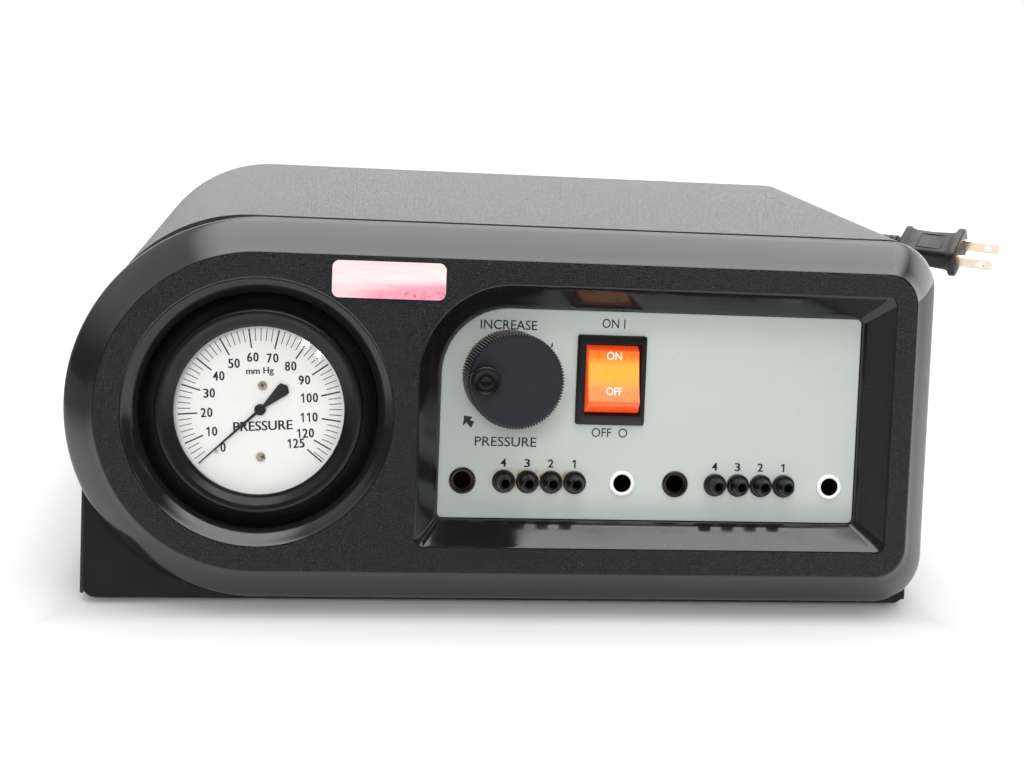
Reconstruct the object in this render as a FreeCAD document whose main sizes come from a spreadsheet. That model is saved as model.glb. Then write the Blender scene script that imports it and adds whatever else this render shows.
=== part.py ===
import FreeCAD, Part
import math
import os
import re
import Sketcher
from FreeCAD import Placement, Rotation, Vector

# Bench-top sequential compression pump: a raked moulded bezel with a pressure gauge and a
# control panel, on a sheet-steel chassis under a wrap-around cover.
# World frame: +X to the right seen from the front, +Y to the back, +Z up. The origin is on the
# surface the rubber feet stand on, under the middle of the whole object.
# Panel frame: u along X, v up the raked front, w out of it; w = 0 is the face of the panel and
# v = 0 is the row of hose ports.

doc = FreeCAD.newDocument("CompressionPump")
sheet = doc.addObject("Spreadsheet::Sheet", "Sizes")

SIZES = [
    # chassis and cover
    ("rake_angle", 10.8, "lean of the front from vertical, degrees"),
    ("base_width", 292.0, "chassis width"),
    ("base_depth", 171.4, "chassis depth at the bottom"),
    ("base_front", -77.2, "front bottom edge of the chassis, from the origin"),
    ("case_height", 129.4, "underside of chassis to top of cover"),
    ("foot_height", 2.5, "rubber foot below the chassis"),
    ("foot_radius", 7.0, "rubber foot"),
    ("foot_inset_x", 22.0, "foot centre in from the side"),
    ("foot_inset_y", 24.0, "foot centre in from the front and back"),
    ("sheet_thick", 1.2, "steel sheet"),
    ("bend_radius", 4.0, "outside radius of the chassis bends"),
    ("lip_height", 16.0, "side lip of the chassis above its underside"),
    ("vent_width", 3.0, "slots in the back"),
    ("vent_height", 26.0, "slots in the back"),
    ("vent_pitch", 8.0, "slot spacing"),
    ("vent_inset_left", 34.0, "left group of slots in from the left side"),
    ("vent_inset_right", 100.0, "right group of slots in from the right side"),
    ("vent_level", 63.5, "slots above the chassis underside"),
    ("cover_round", 54.5, "large quarter round of the cover, top left"),
    ("cover_corner", 13.0, "top right corner of the cover"),
    ("cover_play", 0.1, "cover to chassis"),
    ("cover_setback", 2.0, "front edge of the cover behind the chassis face"),
    ("cover_screw_z", 11.0, "cover screws above the chassis underside"),
    ("cover_screw_pitch", 55.0, "cover screw spacing"),
    # front face
    ("panel_up", 43.0, "port row up the slope from the bottom edge"),
    ("panel_out", 4.0, "panel face in front of the chassis face"),
    ("bezel_over_left", 7.3, "bezel outline past the left side of the chassis"),
    ("bezel_over_right", 4.8, "bezel outline past the right side of the chassis"),
    ("bezel_bottom", 42.0, "bezel outline below the port row"),
    ("bezel_drop", 0.333, "bezel outline below the top of the cover, along the slope"),
    ("bezel_corner", 17.0, "right corners of the bezel outline"),
    ("rim_depth", 2.1, "straight rim of the bezel"),
    ("face_height", 10.7, "grained face in front of the panel face"),
    ("chamfer_width", 12.0, "sloped border of the bezel"),
    ("face_corner", 11.0, "right corners of the grained face"),
    ("bezel_wall", 2.6, "moulding wall"),
    ("recess_slope", 8.0, "sloped border of the panel recess"),
    ("recess_corner", 3.0, "small corners of the recess at the face"),
    ("cove_radius", 44.9, "gauge cove at the face"),
    ("cove_slope", 4.9, "sloped border of the gauge cove, across"),
    ("cove_drop", 5.7, "sloped border of the gauge cove, deep"),
    ("boss_radius", 4.0, "screw bosses in the bezel"),
    ("boss_hole", 1.45, "screw holes in the bosses"),
    # panel plate
    ("plate_left", 26.2, "panel plate from the centre to the left"),
    ("plate_right", 123.1, "panel plate from the centre to the right"),
    ("plate_bottom", 13.0, "panel plate below the port row"),
    ("plate_drop", 28.2, "panel plate below the bezel's top edge"),
    ("plate_thick", 1.6, "panel plate"),
    ("plate_round", 23.3, "large corner of the panel plate"),
    ("plate_corner", 1.8, "small corners of the panel plate"),
    ("plate_gap", 0.3, "panel plate to the recess"),
    ("label_width", 38.0, "blank label"),
    ("label_height", 12.4, "blank label"),
    ("label_thick", 0.15, "blank label"),
    ("label_left", 64.6, "blank label from the centre to its left edge"),
    ("label_drop", 26.0, "lower edge of the blank label below the bezel's top edge"),
    ("label_round", 2.4, "corners of the blank label"),
    # ports
    ("port_start", -3.4, "first hose port of the left group"),
    ("port_pitch", 8.34, "hose port spacing"),
    ("group_pitch", 75.45, "left group to right group"),
    ("port_flange", 4.0, "hose port flange radius"),
    ("port_stem", 2.9, "hose port stem radius"),
    ("port_bore", 1.45, "hose port bore radius"),
    ("port_length", 6.0, "hose port in front of the panel"),
    ("port_back", 16.0, "hose port behind the panel face"),
    ("stem_play", 0.15, "stems to their holes"),
    ("black_socket_u", -17.8, "left black guide socket"),
    ("white_socket_u", 38.55, "left white guide socket"),
    ("socket_flange", 4.6, "guide socket flange radius"),
    ("socket_body", 4.0, "guide socket body radius"),
    ("socket_bore", 3.14, "guide socket bore radius"),
    ("socket_depth", 16.0, "guide socket bore depth"),
    ("sleeve_wall", 0.45, "brass sleeve of the black sockets"),
    ("sleeve_play", 0.05, "sleeve to socket"),
    # knob and regulator
    ("knob_u", -3.6, "knob centre"),
    ("knob_drop", 23.0, "knob centre below the top of the panel plate"),
    ("knob_radius", 15.9, "knob"),
    ("knob_rise", 3.6, "underside of the knob in front of the panel"),
    ("knob_height", 22.4, "knob"),
    ("knurl_depth", 0.7, "knurl"),
    ("spindle_radius", 3.0, "regulator spindle"),
    ("spindle_play", 0.06, "spindle to bushing"),
    ("spinner_offset", 10.5, "finger spinner from the knob centre"),
    ("spinner_radius", 5.0, "finger spinner"),
    ("spinner_height", 4.6, "finger spinner"),
    ("spinner_pin", 1.8, "pin under the spinner"),
    ("spinner_play", 0.1, "spinner to its pin and to the knob"),
    ("bushing_radius", 4.9, "regulator bushing"),
    ("bushing_play", 0.2, "bushing to its holes"),
    ("bonnet_radius", 13.0, "regulator bonnet"),
    ("bonnet_length", 20.0, "regulator bonnet"),
    ("regulator_length", 18.0, "regulator body"),
    ("spring_wire", 0.7, "regulator spring wire radius"),
    # switch
    ("switch_u", 32.85, "switch centre"),
    ("switch_drop", 23.5, "switch centre below the top of the panel plate"),
    ("switch_width", 25.0, "switch frame"),
    ("switch_height", 31.9, "switch frame"),
    ("frame_rise", 1.8, "switch frame in front of the panel"),
    ("switch_play", 0.2, "switch to its cut-outs"),
    ("switch_depth", 24.0, "switch body"),
    ("switch_wall", 0.7, "switch body wall"),
    ("rocker_width", 19.8, "rocker"),
    ("rocker_reach", 11.6, "rocker half height"),
    ("rocker_play", 0.3, "rocker to the frame at its sides"),
    ("rocker_throw", 24.0, "rocker ON to OFF, degrees"),
    ("rocker_pivot", 3.0, "rocker axis behind the panel face"),
    ("rocker_pin", 1.3, "rocker trunnion radius"),
    ("pin_play", 0.08, "trunnion to its bore"),
    # gauge
    ("gauge_u", -87.6, "gauge centre"),
    ("gauge_case", 31.0, "gauge case radius"),
    ("gauge_wall", 1.2, "gauge case wall"),
    ("gauge_depth", 32.0, "gauge case behind the panel face"),
    ("case_front", 3.3, "gauge case in front of the panel face"),
    ("gauge_play", 0.3, "gauge case to its holes"),
    ("ring_radius", 34.8, "gauge ring"),
    ("ring_front", 8.0, "front of the gauge ring"),
    ("ring_lip", 28.9, "opening of the gauge ring at the lens"),
    ("lens_radius", 30.4, "gauge lens"),
    ("lens_thick", 1.6, "gauge lens"),
    ("lens_play", 0.2, "lens and case to the ring"),
    ("dial_radius", 29.5, "gauge dial"),
    ("dial_thick", 0.8, "gauge dial"),
    ("pointer_length", 27.0, "gauge pointer tip"),
    ("pointer_tail", 12.2, "gauge pointer tail"),
    ("pointer_zero", 133.0, "pointer at rest, degrees from the top"),
    ("arbor_radius", 0.6, "pointer arbor"),
    ("arbor_play", 0.05, "arbors to their holes"),
    ("pinion_radius", 1.8, "pinion pitch radius"),
    ("sector_radius", 12.6, "sector pitch radius"),
    # pneumatics
    ("manifold_height", 12.0, "port manifold"),
    ("manifold_depth", 12.0, "port manifold"),
    ("valve_x", 4.0, "distributor valve"),
    ("valve_y", 13.5, "front of the distributor valve"),
    ("valve_z", 42.0, "distributor valve"),
    ("valve_radius", 26.0, "distributor valve"),
    ("rotor_radius", 19.5, "valve rotor"),
    ("rotor_play", 0.3, "valve rotor to its chamber"),
    ("shaft_radius", 3.0, "gear motor shaft"),
    ("shaft_play", 0.05, "shaft to its bore"),
    ("motor_radius", 18.0, "gear motor"),
    ("motor_length", 34.0, "gear motor"),
    ("pump_x", 82.0, "compressor centre"),
    ("pump_y", 43.5, "compressor centre"),
    ("pump_lift", 14.3, "rubber mounts under the compressor"),
    ("pump_width", 70.0, "compressor housing"),
    ("pump_depth", 60.0, "compressor housing"),
    ("pump_height", 58.0, "compressor housing"),
    ("head_radius", 22.0, "compressor heads"),
    ("head_length", 12.0, "compressor heads"),
    ("bore_radius", 17.0, "compressor bore"),
    ("piston_play", 0.08, "piston to bore"),
    ("pump_stroke", 3.0, "armature either way"),
    ("mount_radius", 7.0, "rubber mounts"),
    ("mount_inset", 9.0, "rubber mounts in from the sides of the housing"),
    ("bracket_width", 44.0, "valve bracket"),
    ("bracket_foot", 18.0, "foot of the valve bracket"),
    ("hose_radius", 3.2, "inner hoses"),
    # mains
    ("cord_radius", 3.5, "power cord"),
    ("gland_x", 30.0, "power cord gland"),
    ("gland_z", 22.0, "power cord gland above the chassis underside"),
    ("gland_radius", 6.5, "gland flange"),
    ("gland_reach", 26.0, "strain relief behind the back"),
    ("fuse_offset", 90.0, "fuse holder and terminal block left of the gland"),
    ("strip_width", 40.0, "terminal block"),
    ("strip_depth", 18.0, "terminal block"),
    ("strip_height", 10.0, "terminal block"),
    ("strip_behind", 57.7, "front of the terminal block from the back of the chassis"),
    ("coil_mid", 41.0, "put-away coil, middle of the turns"),
    ("coil_width", 31.0, "put-away coil, thickness"),
    ("coil_rows", 14.0, "put-away coil, radial depth"),
    ("blade_width", 6.35, "plug blade"),
    ("blade_thick", 1.5, "plug blade"),
    ("blade_length", 17.0, "plug blade"),
    ("blade_pitch", 12.7, "plug blade spacing"),
]

S = {}
for row, (alias, value, note) in enumerate(SIZES, 1):
    sheet.set("A%d" % row, alias)
    sheet.set("B%d" % row, str(value))
    sheet.set("C%d" % row, note)
    sheet.setAlias("B%d" % row, alias)
doc.recompute()
for alias, value, note in SIZES:
    S[alias] = float(sheet.get(alias))

ALIAS = re.compile(r"\b(" + "|".join(sorted(S, key=len, reverse=True)) + r")\b")

# Sizes that follow from the sheet's: a formula for the expressions, and the same as a number.
BEZEL_TOP_F = "(case_height / cos(rake_angle) - bezel_drop - panel_up)"
PLATE_TOP_F = "(%s - plate_drop)" % BEZEL_TOP_F
DERIVED = {
    "bezel_left": "(base_width / 2 + bezel_over_left)",
    "bezel_right": "(base_width / 2 + bezel_over_right)",
    "bezel_top": BEZEL_TOP_F,
    "plate_top": PLATE_TOP_F,
    "label_low": "(%s - label_drop)" % BEZEL_TOP_F,
    "knob_v": "(%s - knob_drop)" % PLATE_TOP_F,
    "switch_v": "(%s - switch_drop)" % PLATE_TOP_F,
    "gauge_v": "((%s - bezel_bottom) / 2)" % BEZEL_TOP_F,
}
S["bezel_left"] = S["base_width"] / 2 + S["bezel_over_left"]
S["bezel_right"] = S["base_width"] / 2 + S["bezel_over_right"]
S["bezel_top"] = S["case_height"] / math.cos(math.radians(S["rake_angle"])) - S["bezel_drop"] - S["panel_up"]
S["plate_top"] = S["bezel_top"] - S["plate_drop"]
S["label_low"] = S["bezel_top"] - S["label_drop"]
S["knob_v"] = S["plate_top"] - S["knob_drop"]
S["switch_v"] = S["plate_top"] - S["switch_drop"]
S["gauge_v"] = (S["bezel_top"] - S["bezel_bottom"]) / 2
FOLLOWS = re.compile(r"\b(" + "|".join(DERIVED) + r")\b")


def tied(text):
    """A formula on the sheet's aliases, as FreeCAD's expressions write them."""
    spelled = FOLLOWS.sub(lambda found: DERIVED[found.group(1)], str(text))
    return ALIAS.sub(r"Sizes.\1", spelled)


def bind(obj, prop, formula):
    obj.setExpression(prop, tied(formula))


# Origin of the panel frame, as formulas on the sheet.
PANEL_Y = "(base_front + panel_up * sin(rake_angle) - panel_out * cos(rake_angle))"
PANEL_Z = "(foot_height + panel_up * cos(rake_angle) + panel_out * sin(rake_angle))"

RAKE = math.radians(S["rake_angle"])
PANEL = Placement(
    Vector(
        0,
        S["base_front"] + S["panel_up"] * math.sin(RAKE) - S["panel_out"] * math.cos(RAKE),
        S["foot_height"] + S["panel_up"] * math.cos(RAKE) + S["panel_out"] * math.sin(RAKE),
    ),
    Rotation(Vector(1, 0, 0), 90 - S["rake_angle"]),
)


def on_panel(u, v, w):
    """World point of a point given in the panel frame."""
    return PANEL.multVec(Vector(u, v, w))


def put(obj, at, axis="z"):
    """Places obj at formulas (x, y, z). Its own Z points along x, y, z or -y; out of the panel,
    with at in the panel frame, for panel; along X, with at in the panel frame, for panel-x."""
    x, y, z = at
    if axis.startswith("panel"):
        obj.Placement = PANEL if axis == "panel" else Placement(Vector(), Rotation(Vector(0, 1, 0), 90))
        if axis == "panel":
            bind(obj, "Placement.Rotation.Angle", "90 - rake_angle")
        bind(obj, "Placement.Base.x", x)
        bind(obj, "Placement.Base.y", PANEL_Y + " + (%s) * sin(rake_angle) - (%s) * cos(rake_angle)" % (y, z))
        bind(obj, "Placement.Base.z", PANEL_Z + " + (%s) * cos(rake_angle) + (%s) * sin(rake_angle)" % (y, z))
        return obj
    turn = {
        "z": Rotation(),
        "y": Rotation(Vector(1, 0, 0), -90),
        "-y": Rotation(Vector(1, 0, 0), 90),
        "x": Rotation(Vector(0, 1, 0), 90),
    }[axis]
    obj.Placement = Placement(Vector(), turn)
    bind(obj, "Placement.Base.x", x)
    bind(obj, "Placement.Base.y", y)
    bind(obj, "Placement.Base.z", z)
    return obj


def cyl(radius, height, at, axis="z"):
    obj = doc.addObject("Part::Cylinder", "Cylinder")
    bind(obj, "Radius", radius)
    bind(obj, "Height", height)
    return put(obj, at, axis)


def cone(radius1, radius2, height, at, axis="z"):
    obj = doc.addObject("Part::Cone", "Cone")
    bind(obj, "Radius1", radius1)
    bind(obj, "Radius2", radius2)
    bind(obj, "Height", height)
    return put(obj, at, axis)


def block(width, depth, height, at, axis="z"):
    obj = doc.addObject("Part::Box", "Box")
    bind(obj, "Length", width)
    bind(obj, "Width", depth)
    bind(obj, "Height", height)
    return put(obj, at, axis)


def hexagon(radius, height, at, axis="z"):
    obj = doc.addObject("Part::Prism", "Prism")
    obj.Polygon = 6
    bind(obj, "Circumradius", radius)
    bind(obj, "Height", height)
    return put(obj, at, axis)


def fuse(shapes, label=None):
    obj = doc.addObject("Part::MultiFuse", "Fusion")
    obj.Shapes = shapes
    if label:
        obj.Label = label
    return obj


def cut(base, tool, label=None):
    obj = doc.addObject("Part::Cut", "Cut")
    obj.Base = base
    obj.Tool = tool
    if label:
        obj.Label = label
    return obj


def group(shapes, label):
    """Separate solids of one kind kept together as one piece."""
    obj = doc.addObject("Part::Compound", "Group")
    obj.Links = shapes
    obj.Label = label
    return obj


def solid(shape, label):
    obj = doc.addObject("Part::Feature", "Feature")
    obj.Shape = shape
    obj.Label = label
    return obj


def named(obj, label):
    obj.Label = label
    return obj


NODES = []


def keep(obj):
    NODES.append(obj)
    return obj


# --- sketches -----------------------------------------------------------------------------


def plane(body, role):
    return [f for f in body.Origin.OriginFeatures if f.Role == role][0]


def attached(body, role, offset):
    """A sketch on one of the body's origin planes, raised by the formula offset."""
    sketch = body.newObject("Sketcher::SketchObject", "Sketch")
    sketch.AttachmentSupport = [(plane(body, role), "")]
    sketch.MapMode = "FlatFace"
    bind(sketch, "AttachmentOffset.Base.z", offset)
    return sketch


def line(a, b):
    return Part.LineSegment(Vector(a[0], a[1], 0), Vector(b[0], b[1], 0))


def arc(centre, radius, start, end):
    circle = Part.Circle(Vector(centre[0], centre[1], 0), Vector(0, 0, 1), radius)
    return Part.ArcOfCircle(circle, math.radians(start), math.radians(end))


def rounded(sketch, left, right, bottom, top, radii, now):
    """Rounded rectangle: sides as formulas, radii for bottom left, bottom right, top right and
    top left as formulas, and now holding the same eight values as numbers to start from."""
    x0, x1, y0, y1, (rbl, rbr, rtr, rtl) = now
    sketch.addGeometry(line((x0 + rbl, y0), (x1 - rbr, y0)))
    sketch.addGeometry(arc((x1 - rbr, y0 + rbr), rbr, 270, 360))
    sketch.addGeometry(line((x1, y0 + rbr), (x1, y1 - rtr)))
    sketch.addGeometry(arc((x1 - rtr, y1 - rtr), rtr, 0, 90))
    sketch.addGeometry(line((x1 - rtr, y1), (x0 + rtl, y1)))
    sketch.addGeometry(arc((x0 + rtl, y1 - rtl), rtl, 90, 180))
    sketch.addGeometry(line((x0, y1 - rtl), (x0, y0 + rbl)))
    sketch.addGeometry(arc((x0 + rbl, y0 + rbl), rbl, 180, 270))
    for i in range(8):
        sketch.addConstraint(Sketcher.Constraint("Tangent", i, 2, (i + 1) % 8, 1))
    sketch.addConstraint(Sketcher.Constraint("Horizontal", 0))
    sketch.addConstraint(Sketcher.Constraint("Vertical", 2))
    sketch.addConstraint(Sketcher.Constraint("Horizontal", 4))
    sketch.addConstraint(Sketcher.Constraint("Vertical", 6))
    turns = ((1, radii[1], rbr), (3, radii[2], rtr), (5, radii[3], rtl), (7, radii[0], rbl))
    for index, formula, value in turns:
        n = sketch.addConstraint(Sketcher.Constraint("Radius", index, value))
        bind(sketch, "Constraints[%d]" % n, formula)
    for kind, index, formula, value in (
        ("DistanceY", 0, bottom, y0),
        ("DistanceX", 2, right, x1),
        ("DistanceY", 4, top, y1),
        ("DistanceX", 6, left, x0),
    ):
        n = sketch.addConstraint(Sketcher.Constraint(kind, -1, 1, index, 1, value))
        bind(sketch, "Constraints[%d]" % n, formula)
    return sketch


def stadium(sketch, left, right, bottom, top, radius, now):
    """Outline with a half-round left end and rounded right corners."""
    x0, x1, y0, y1, corner = now
    big = (y1 - y0) / 2
    mid = (y0 + y1) / 2
    sketch.addGeometry(line((x0 + big, y0), (x1 - corner, y0)))
    sketch.addGeometry(arc((x1 - corner, y0 + corner), corner, 270, 360))
    sketch.addGeometry(line((x1, y0 + corner), (x1, y1 - corner)))
    sketch.addGeometry(arc((x1 - corner, y1 - corner), corner, 0, 90))
    sketch.addGeometry(line((x1 - corner, y1), (x0 + big, y1)))
    sketch.addGeometry(arc((x0 + big, mid), big, 90, 270))
    for i in range(6):
        sketch.addConstraint(Sketcher.Constraint("Tangent", i, 2, (i + 1) % 6, 1))
    sketch.addConstraint(Sketcher.Constraint("Horizontal", 0))
    sketch.addConstraint(Sketcher.Constraint("Vertical", 2))
    sketch.addConstraint(Sketcher.Constraint("Horizontal", 4))
    for index in (1, 3):
        n = sketch.addConstraint(Sketcher.Constraint("Radius", index, corner))
        bind(sketch, "Constraints[%d]" % n, radius)
    n = sketch.addConstraint(Sketcher.Constraint("DistanceY", -1, 1, 0, 1, y0))
    bind(sketch, "Constraints[%d]" % n, bottom)
    n = sketch.addConstraint(Sketcher.Constraint("DistanceX", -1, 1, 2, 1, x1))
    bind(sketch, "Constraints[%d]" % n, right)
    n = sketch.addConstraint(Sketcher.Constraint("DistanceY", -1, 1, 4, 1, y1))
    bind(sketch, "Constraints[%d]" % n, top)
    n = sketch.addConstraint(Sketcher.Constraint("DistanceX", -1, 1, 5, 3, x0 + big))
    bind(sketch, "Constraints[%d]" % n, "(%s) + ((%s) - (%s)) / 2" % (left, top, bottom))
    return sketch


def circle(sketch, u, v, radius, now):
    cu, cv, r = now
    sketch.addGeometry(Part.Circle(Vector(cu, cv, 0), Vector(0, 0, 1), r))
    n = sketch.addConstraint(Sketcher.Constraint("Radius", 0, r))
    bind(sketch, "Constraints[%d]" % n, radius)
    n = sketch.addConstraint(Sketcher.Constraint("DistanceX", -1, 1, 0, 3, cu))
    bind(sketch, "Constraints[%d]" % n, u)
    n = sketch.addConstraint(Sketcher.Constraint("DistanceY", -1, 1, 0, 3, cv))
    bind(sketch, "Constraints[%d]" % n, v)
    return sketch


def polygon(sketch, corners):
    """Closed polygon; corners are (x formula, y formula, x now, y now)."""
    count = len(corners)
    for i in range(count):
        a = corners[i]
        b = corners[(i + 1) % count]
        sketch.addGeometry(line((a[2], a[3]), (b[2], b[3])))
    for i in range(count):
        sketch.addConstraint(Sketcher.Constraint("Coincident", i, 2, (i + 1) % count, 1))
    for i, (fx, fy, x, y) in enumerate(corners):
        n = sketch.addConstraint(Sketcher.Constraint("DistanceX", -1, 1, i, 1, x))
        bind(sketch, "Constraints[%d]" % n, fx)
        n = sketch.addConstraint(Sketcher.Constraint("DistanceY", -1, 1, i, 1, y))
        bind(sketch, "Constraints[%d]" % n, fy)
    return sketch


def pad(body, sketch, length, midplane=False):
    feature = body.newObject("PartDesign::Pad", "Pad")
    feature.Profile = sketch
    feature.Midplane = midplane
    bind(feature, "Length", length)
    body.Tip = feature
    return feature


def pocket(body, sketch, length, midplane=False, reverse=False):
    feature = body.newObject("PartDesign::Pocket", "Pocket")
    feature.Profile = sketch
    feature.Midplane = midplane
    feature.Reversed = reverse
    bind(feature, "Length", length)
    body.Tip = feature
    return feature


def loft(body, kind, first, second):
    feature = body.newObject("PartDesign::" + kind, kind)
    feature.Profile = first
    feature.Sections = [second]
    feature.Ruled = True
    body.Tip = feature
    return feature


def new_body(label):
    body = doc.addObject("PartDesign::Body", "Body")
    body.Label = label
    return body


def body_on_panel(label):
    body = new_body(label)
    put(body, ("0", "0", "0"), "panel")
    return body


# --- chassis ------------------------------------------------------------------------------
# Side profile in the YZ plane; sketch x is world Y and sketch y is world Z.
FRONT = S["base_front"]
BACK_F = "(base_front + base_depth)"
BACK = FRONT + S["base_depth"]
MIDDLE_F = "(base_front + base_depth / 2)"
HALF = S["base_depth"] / 2
TAN = math.tan(RAKE)
COS = math.cos(RAKE)
TOP_F = "(foot_height + case_height - sheet_thick - cover_play - 0.2)"
TOP = S["foot_height"] + S["case_height"] - S["sheet_thick"] - S["cover_play"] - 0.2
T = S["sheet_thick"]
FOOT = S["foot_height"]


def side_profile(body, front_in, back_in, low, high, front_now, back_now, low_now, high_now):
    """Raked trapezoid: front_in and back_in are distances inside the chassis faces."""
    sketch = attached(body, "YZ_Plane", "0")
    y_low = "base_front + (%s) / cos(rake_angle) + ((%s) - foot_height) * tan(rake_angle)" % (front_in, low)
    y_high = "base_front + (%s) / cos(rake_angle) + ((%s) - foot_height) * tan(rake_angle)" % (front_in, high)
    back = "%s - (%s)" % (BACK_F, back_in)
    yl = FRONT + front_now / COS + (low_now - FOOT) * TAN
    yh = FRONT + front_now / COS + (high_now - FOOT) * TAN
    yb = BACK - back_now
    corners = [
        (y_low, low, yl, low_now),
        (back, low, yb, low_now),
        (back, high, yb, high_now),
        (y_high, high, yh, high_now),
    ]
    return polygon(sketch, corners)


def edges_along_y(shape, x, z, reach):
    """Names of the straight edges that run front to back near x, z."""
    names = []
    for i, edge in enumerate(shape.Edges, 1):
        box = edge.BoundBox
        if box.YLength > reach and box.XLength < 0.01 and box.ZLength < 0.01:
            if abs(box.XMin - x) < 0.5 and abs(box.ZMin - z) < 0.5:
                names.append("Edge%d" % i)
    return names


def round_edges(body, names, radius):
    shaped = body.Tip
    feature = body.newObject("PartDesign::Fillet", "Fillet")
    feature.Base = (shaped, names)
    bind(feature, "Radius", radius)
    body.Tip = feature
    return feature


chassis = new_body("chassis_form")
pad(chassis, side_profile(chassis, "0", "0", "foot_height", TOP_F, 0, 0, FOOT, TOP), "base_width", True)
doc.recompute()
HX = S["base_width"] / 2
for side in (-1, 1):
    round_edges(chassis, edges_along_y(chassis.Shape, side * HX, FOOT, 100), "bend_radius")
    doc.recompute()
round_edges(chassis, edges_along_y(chassis.Shape, -HX, TOP, 80), "cover_round - sheet_thick")
doc.recompute()
round_edges(chassis, edges_along_y(chassis.Shape, HX, TOP, 80), "cover_corner - sheet_thick")
doc.recompute()
ABOVE_F = TOP_F + " + 5"
ABOVE = TOP + 5


def inside_profile(low, low_now):
    """The chassis's side profile a sheet inside its front and back, from low to above its top."""
    return side_profile(chassis, "sheet_thick", "sheet_thick", low, ABOVE_F, T, T, low_now, ABOVE)


pocket(chassis, inside_profile("foot_height + sheet_thick", FOOT + T), "base_width - 2 * sheet_thick", True)
doc.recompute()
for side in (-1, 1):
    inner_bend = edges_along_y(chassis.Shape, side * (HX - T), FOOT + T, 100)
    round_edges(chassis, inner_bend, "bend_radius - sheet_thick")
    doc.recompute()
pocket(chassis, inside_profile("foot_height + lip_height", FOOT + S["lip_height"]), "base_width + 4", True)

PORTS = [(group_no, i) for group_no in (0, 1) for i in range(4)]


def port_u(group_no, i):
    return "(port_start + %d * port_pitch + %d * group_pitch)" % (i, group_no)


SOCKETS = ["(black_socket_u + %d * group_pitch)" % g for g in (0, 1)]
WHITES = ["(white_socket_u + %d * group_pitch)" % g for g in (0, 1)]
# Holes that run through the panel plate, the floor of the recess and the chassis face.
stack_low = "(-panel_out - sheet_thick - 2)"
stack_long = "(panel_out + sheet_thick + 4)"
stack = [cyl("port_stem + stem_play", stack_long, (port_u(g, i), "0", stack_low), "panel") for g, i in PORTS]
stack += [cyl("socket_body + stem_play", stack_long, (u, "0", stack_low), "panel") for u in SOCKETS + WHITES]
stack.append(cyl("bushing_radius + bushing_play", stack_long, ("knob_u", "knob_v", stack_low), "panel"))
# The switch: opening for the rocker, and the body behind it.
ROOM_W = "(rocker_width + 2 * rocker_play)"
ROOM_H = "(2 * rocker_reach + 1.2)"
BODY_W = "(%s + 2 * switch_wall)" % ROOM_W
BODY_H = "(%s + 4)" % ROOM_H


def at_switch(width, height, depth, low):
    """Block round the middle of the switch, from w = low."""
    corner = ("switch_u - (%s) / 2" % width, "switch_v - (%s) / 2" % height, low)
    return block(width, height, depth, corner, "panel")


stack.append(at_switch(BODY_W + " + 2 * switch_play", BODY_H + " + 2 * switch_play", stack_long, stack_low))
panel_holes = fuse(stack)
gauge_hole = cyl("gauge_case + gauge_play", stack_long, ("gauge_u", "gauge_v", stack_low), "panel")

# Bezel bosses, in the hollow of the moulding, each with a screw from inside the chassis.
BOSSES = [
    ("(29.5 - bezel_left)", "(bezel_top - 29.5)"),
    ("(29.5 - bezel_left)", "(29.5 - bezel_bottom)"),
    ("(-36.5)", "(bezel_top - 16)"),
    ("(-36.5)", "(13.5 - bezel_bottom)"),
    ("(bezel_right - 17.5)", "(bezel_top - 19.5)"),
    ("(bezel_right - 17.5)", "(17.5 - bezel_bottom)"),
]
screw_holes = [
    cyl("boss_hole + 0.25", "sheet_thick + 2", (u, v, "-panel_out - sheet_thick - 1"), "panel")
    for u, v in BOSSES
]

FEET = [
    ("%s * (base_width / 2 - foot_inset_x)" % sx, "%s + %s * (base_depth / 2 - foot_inset_y)" % (MIDDLE_F, sy))
    for sx in ("-1", "1")
    for sy in ("-1", "1")
]
foot_holes = [cyl("2.5", "sheet_thick + 2", (x, y, "foot_height - 1")) for x, y in FEET]
cover_screw_spots = [
    (side, "%s + %d * cover_screw_pitch" % (MIDDLE_F, k)) for side in (-1, 1) for k in (-1, 0, 1)
]
cover_screw_level = "foot_height + cover_screw_z"


def screw_clearances():
    """Holes for the cover screws, through the cover and the lip under it."""
    return [
        cyl("1.9", "12", ("%d * base_width / 2 - 6" % side, y, cover_screw_level), "x")
        for side, y in cover_screw_spots
    ]


lip_holes = screw_clearances()
gland_level = "foot_height + gland_z"
BEHIND = BACK_F + " - sheet_thick - 1"
FUSE_X = "(gland_x - fuse_offset)"
gland_hole = cyl("gland_radius - 1.5", "sheet_thick + 2", ("gland_x", BEHIND, gland_level), "y")
fuse_hole = cyl("6.2", "sheet_thick + 2", (FUSE_X, BEHIND, gland_level), "y")
vents = []
for i in range(9):
    for first in ("-base_width / 2 + vent_inset_left", "base_width / 2 - vent_inset_right"):
        slot = ("%s + %d * vent_pitch" % (first, i), BEHIND, "foot_height + vent_level")
        vents.append(block("vent_width", "sheet_thick + 2", "vent_height", slot))
face_cuts = [panel_holes, gauge_hole] + screw_holes
other_cuts = foot_holes + lip_holes + [gland_hole, fuse_hole] + vents
keep(cut(chassis, fuse(face_cuts + other_cuts), "chassis_base"))

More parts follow.
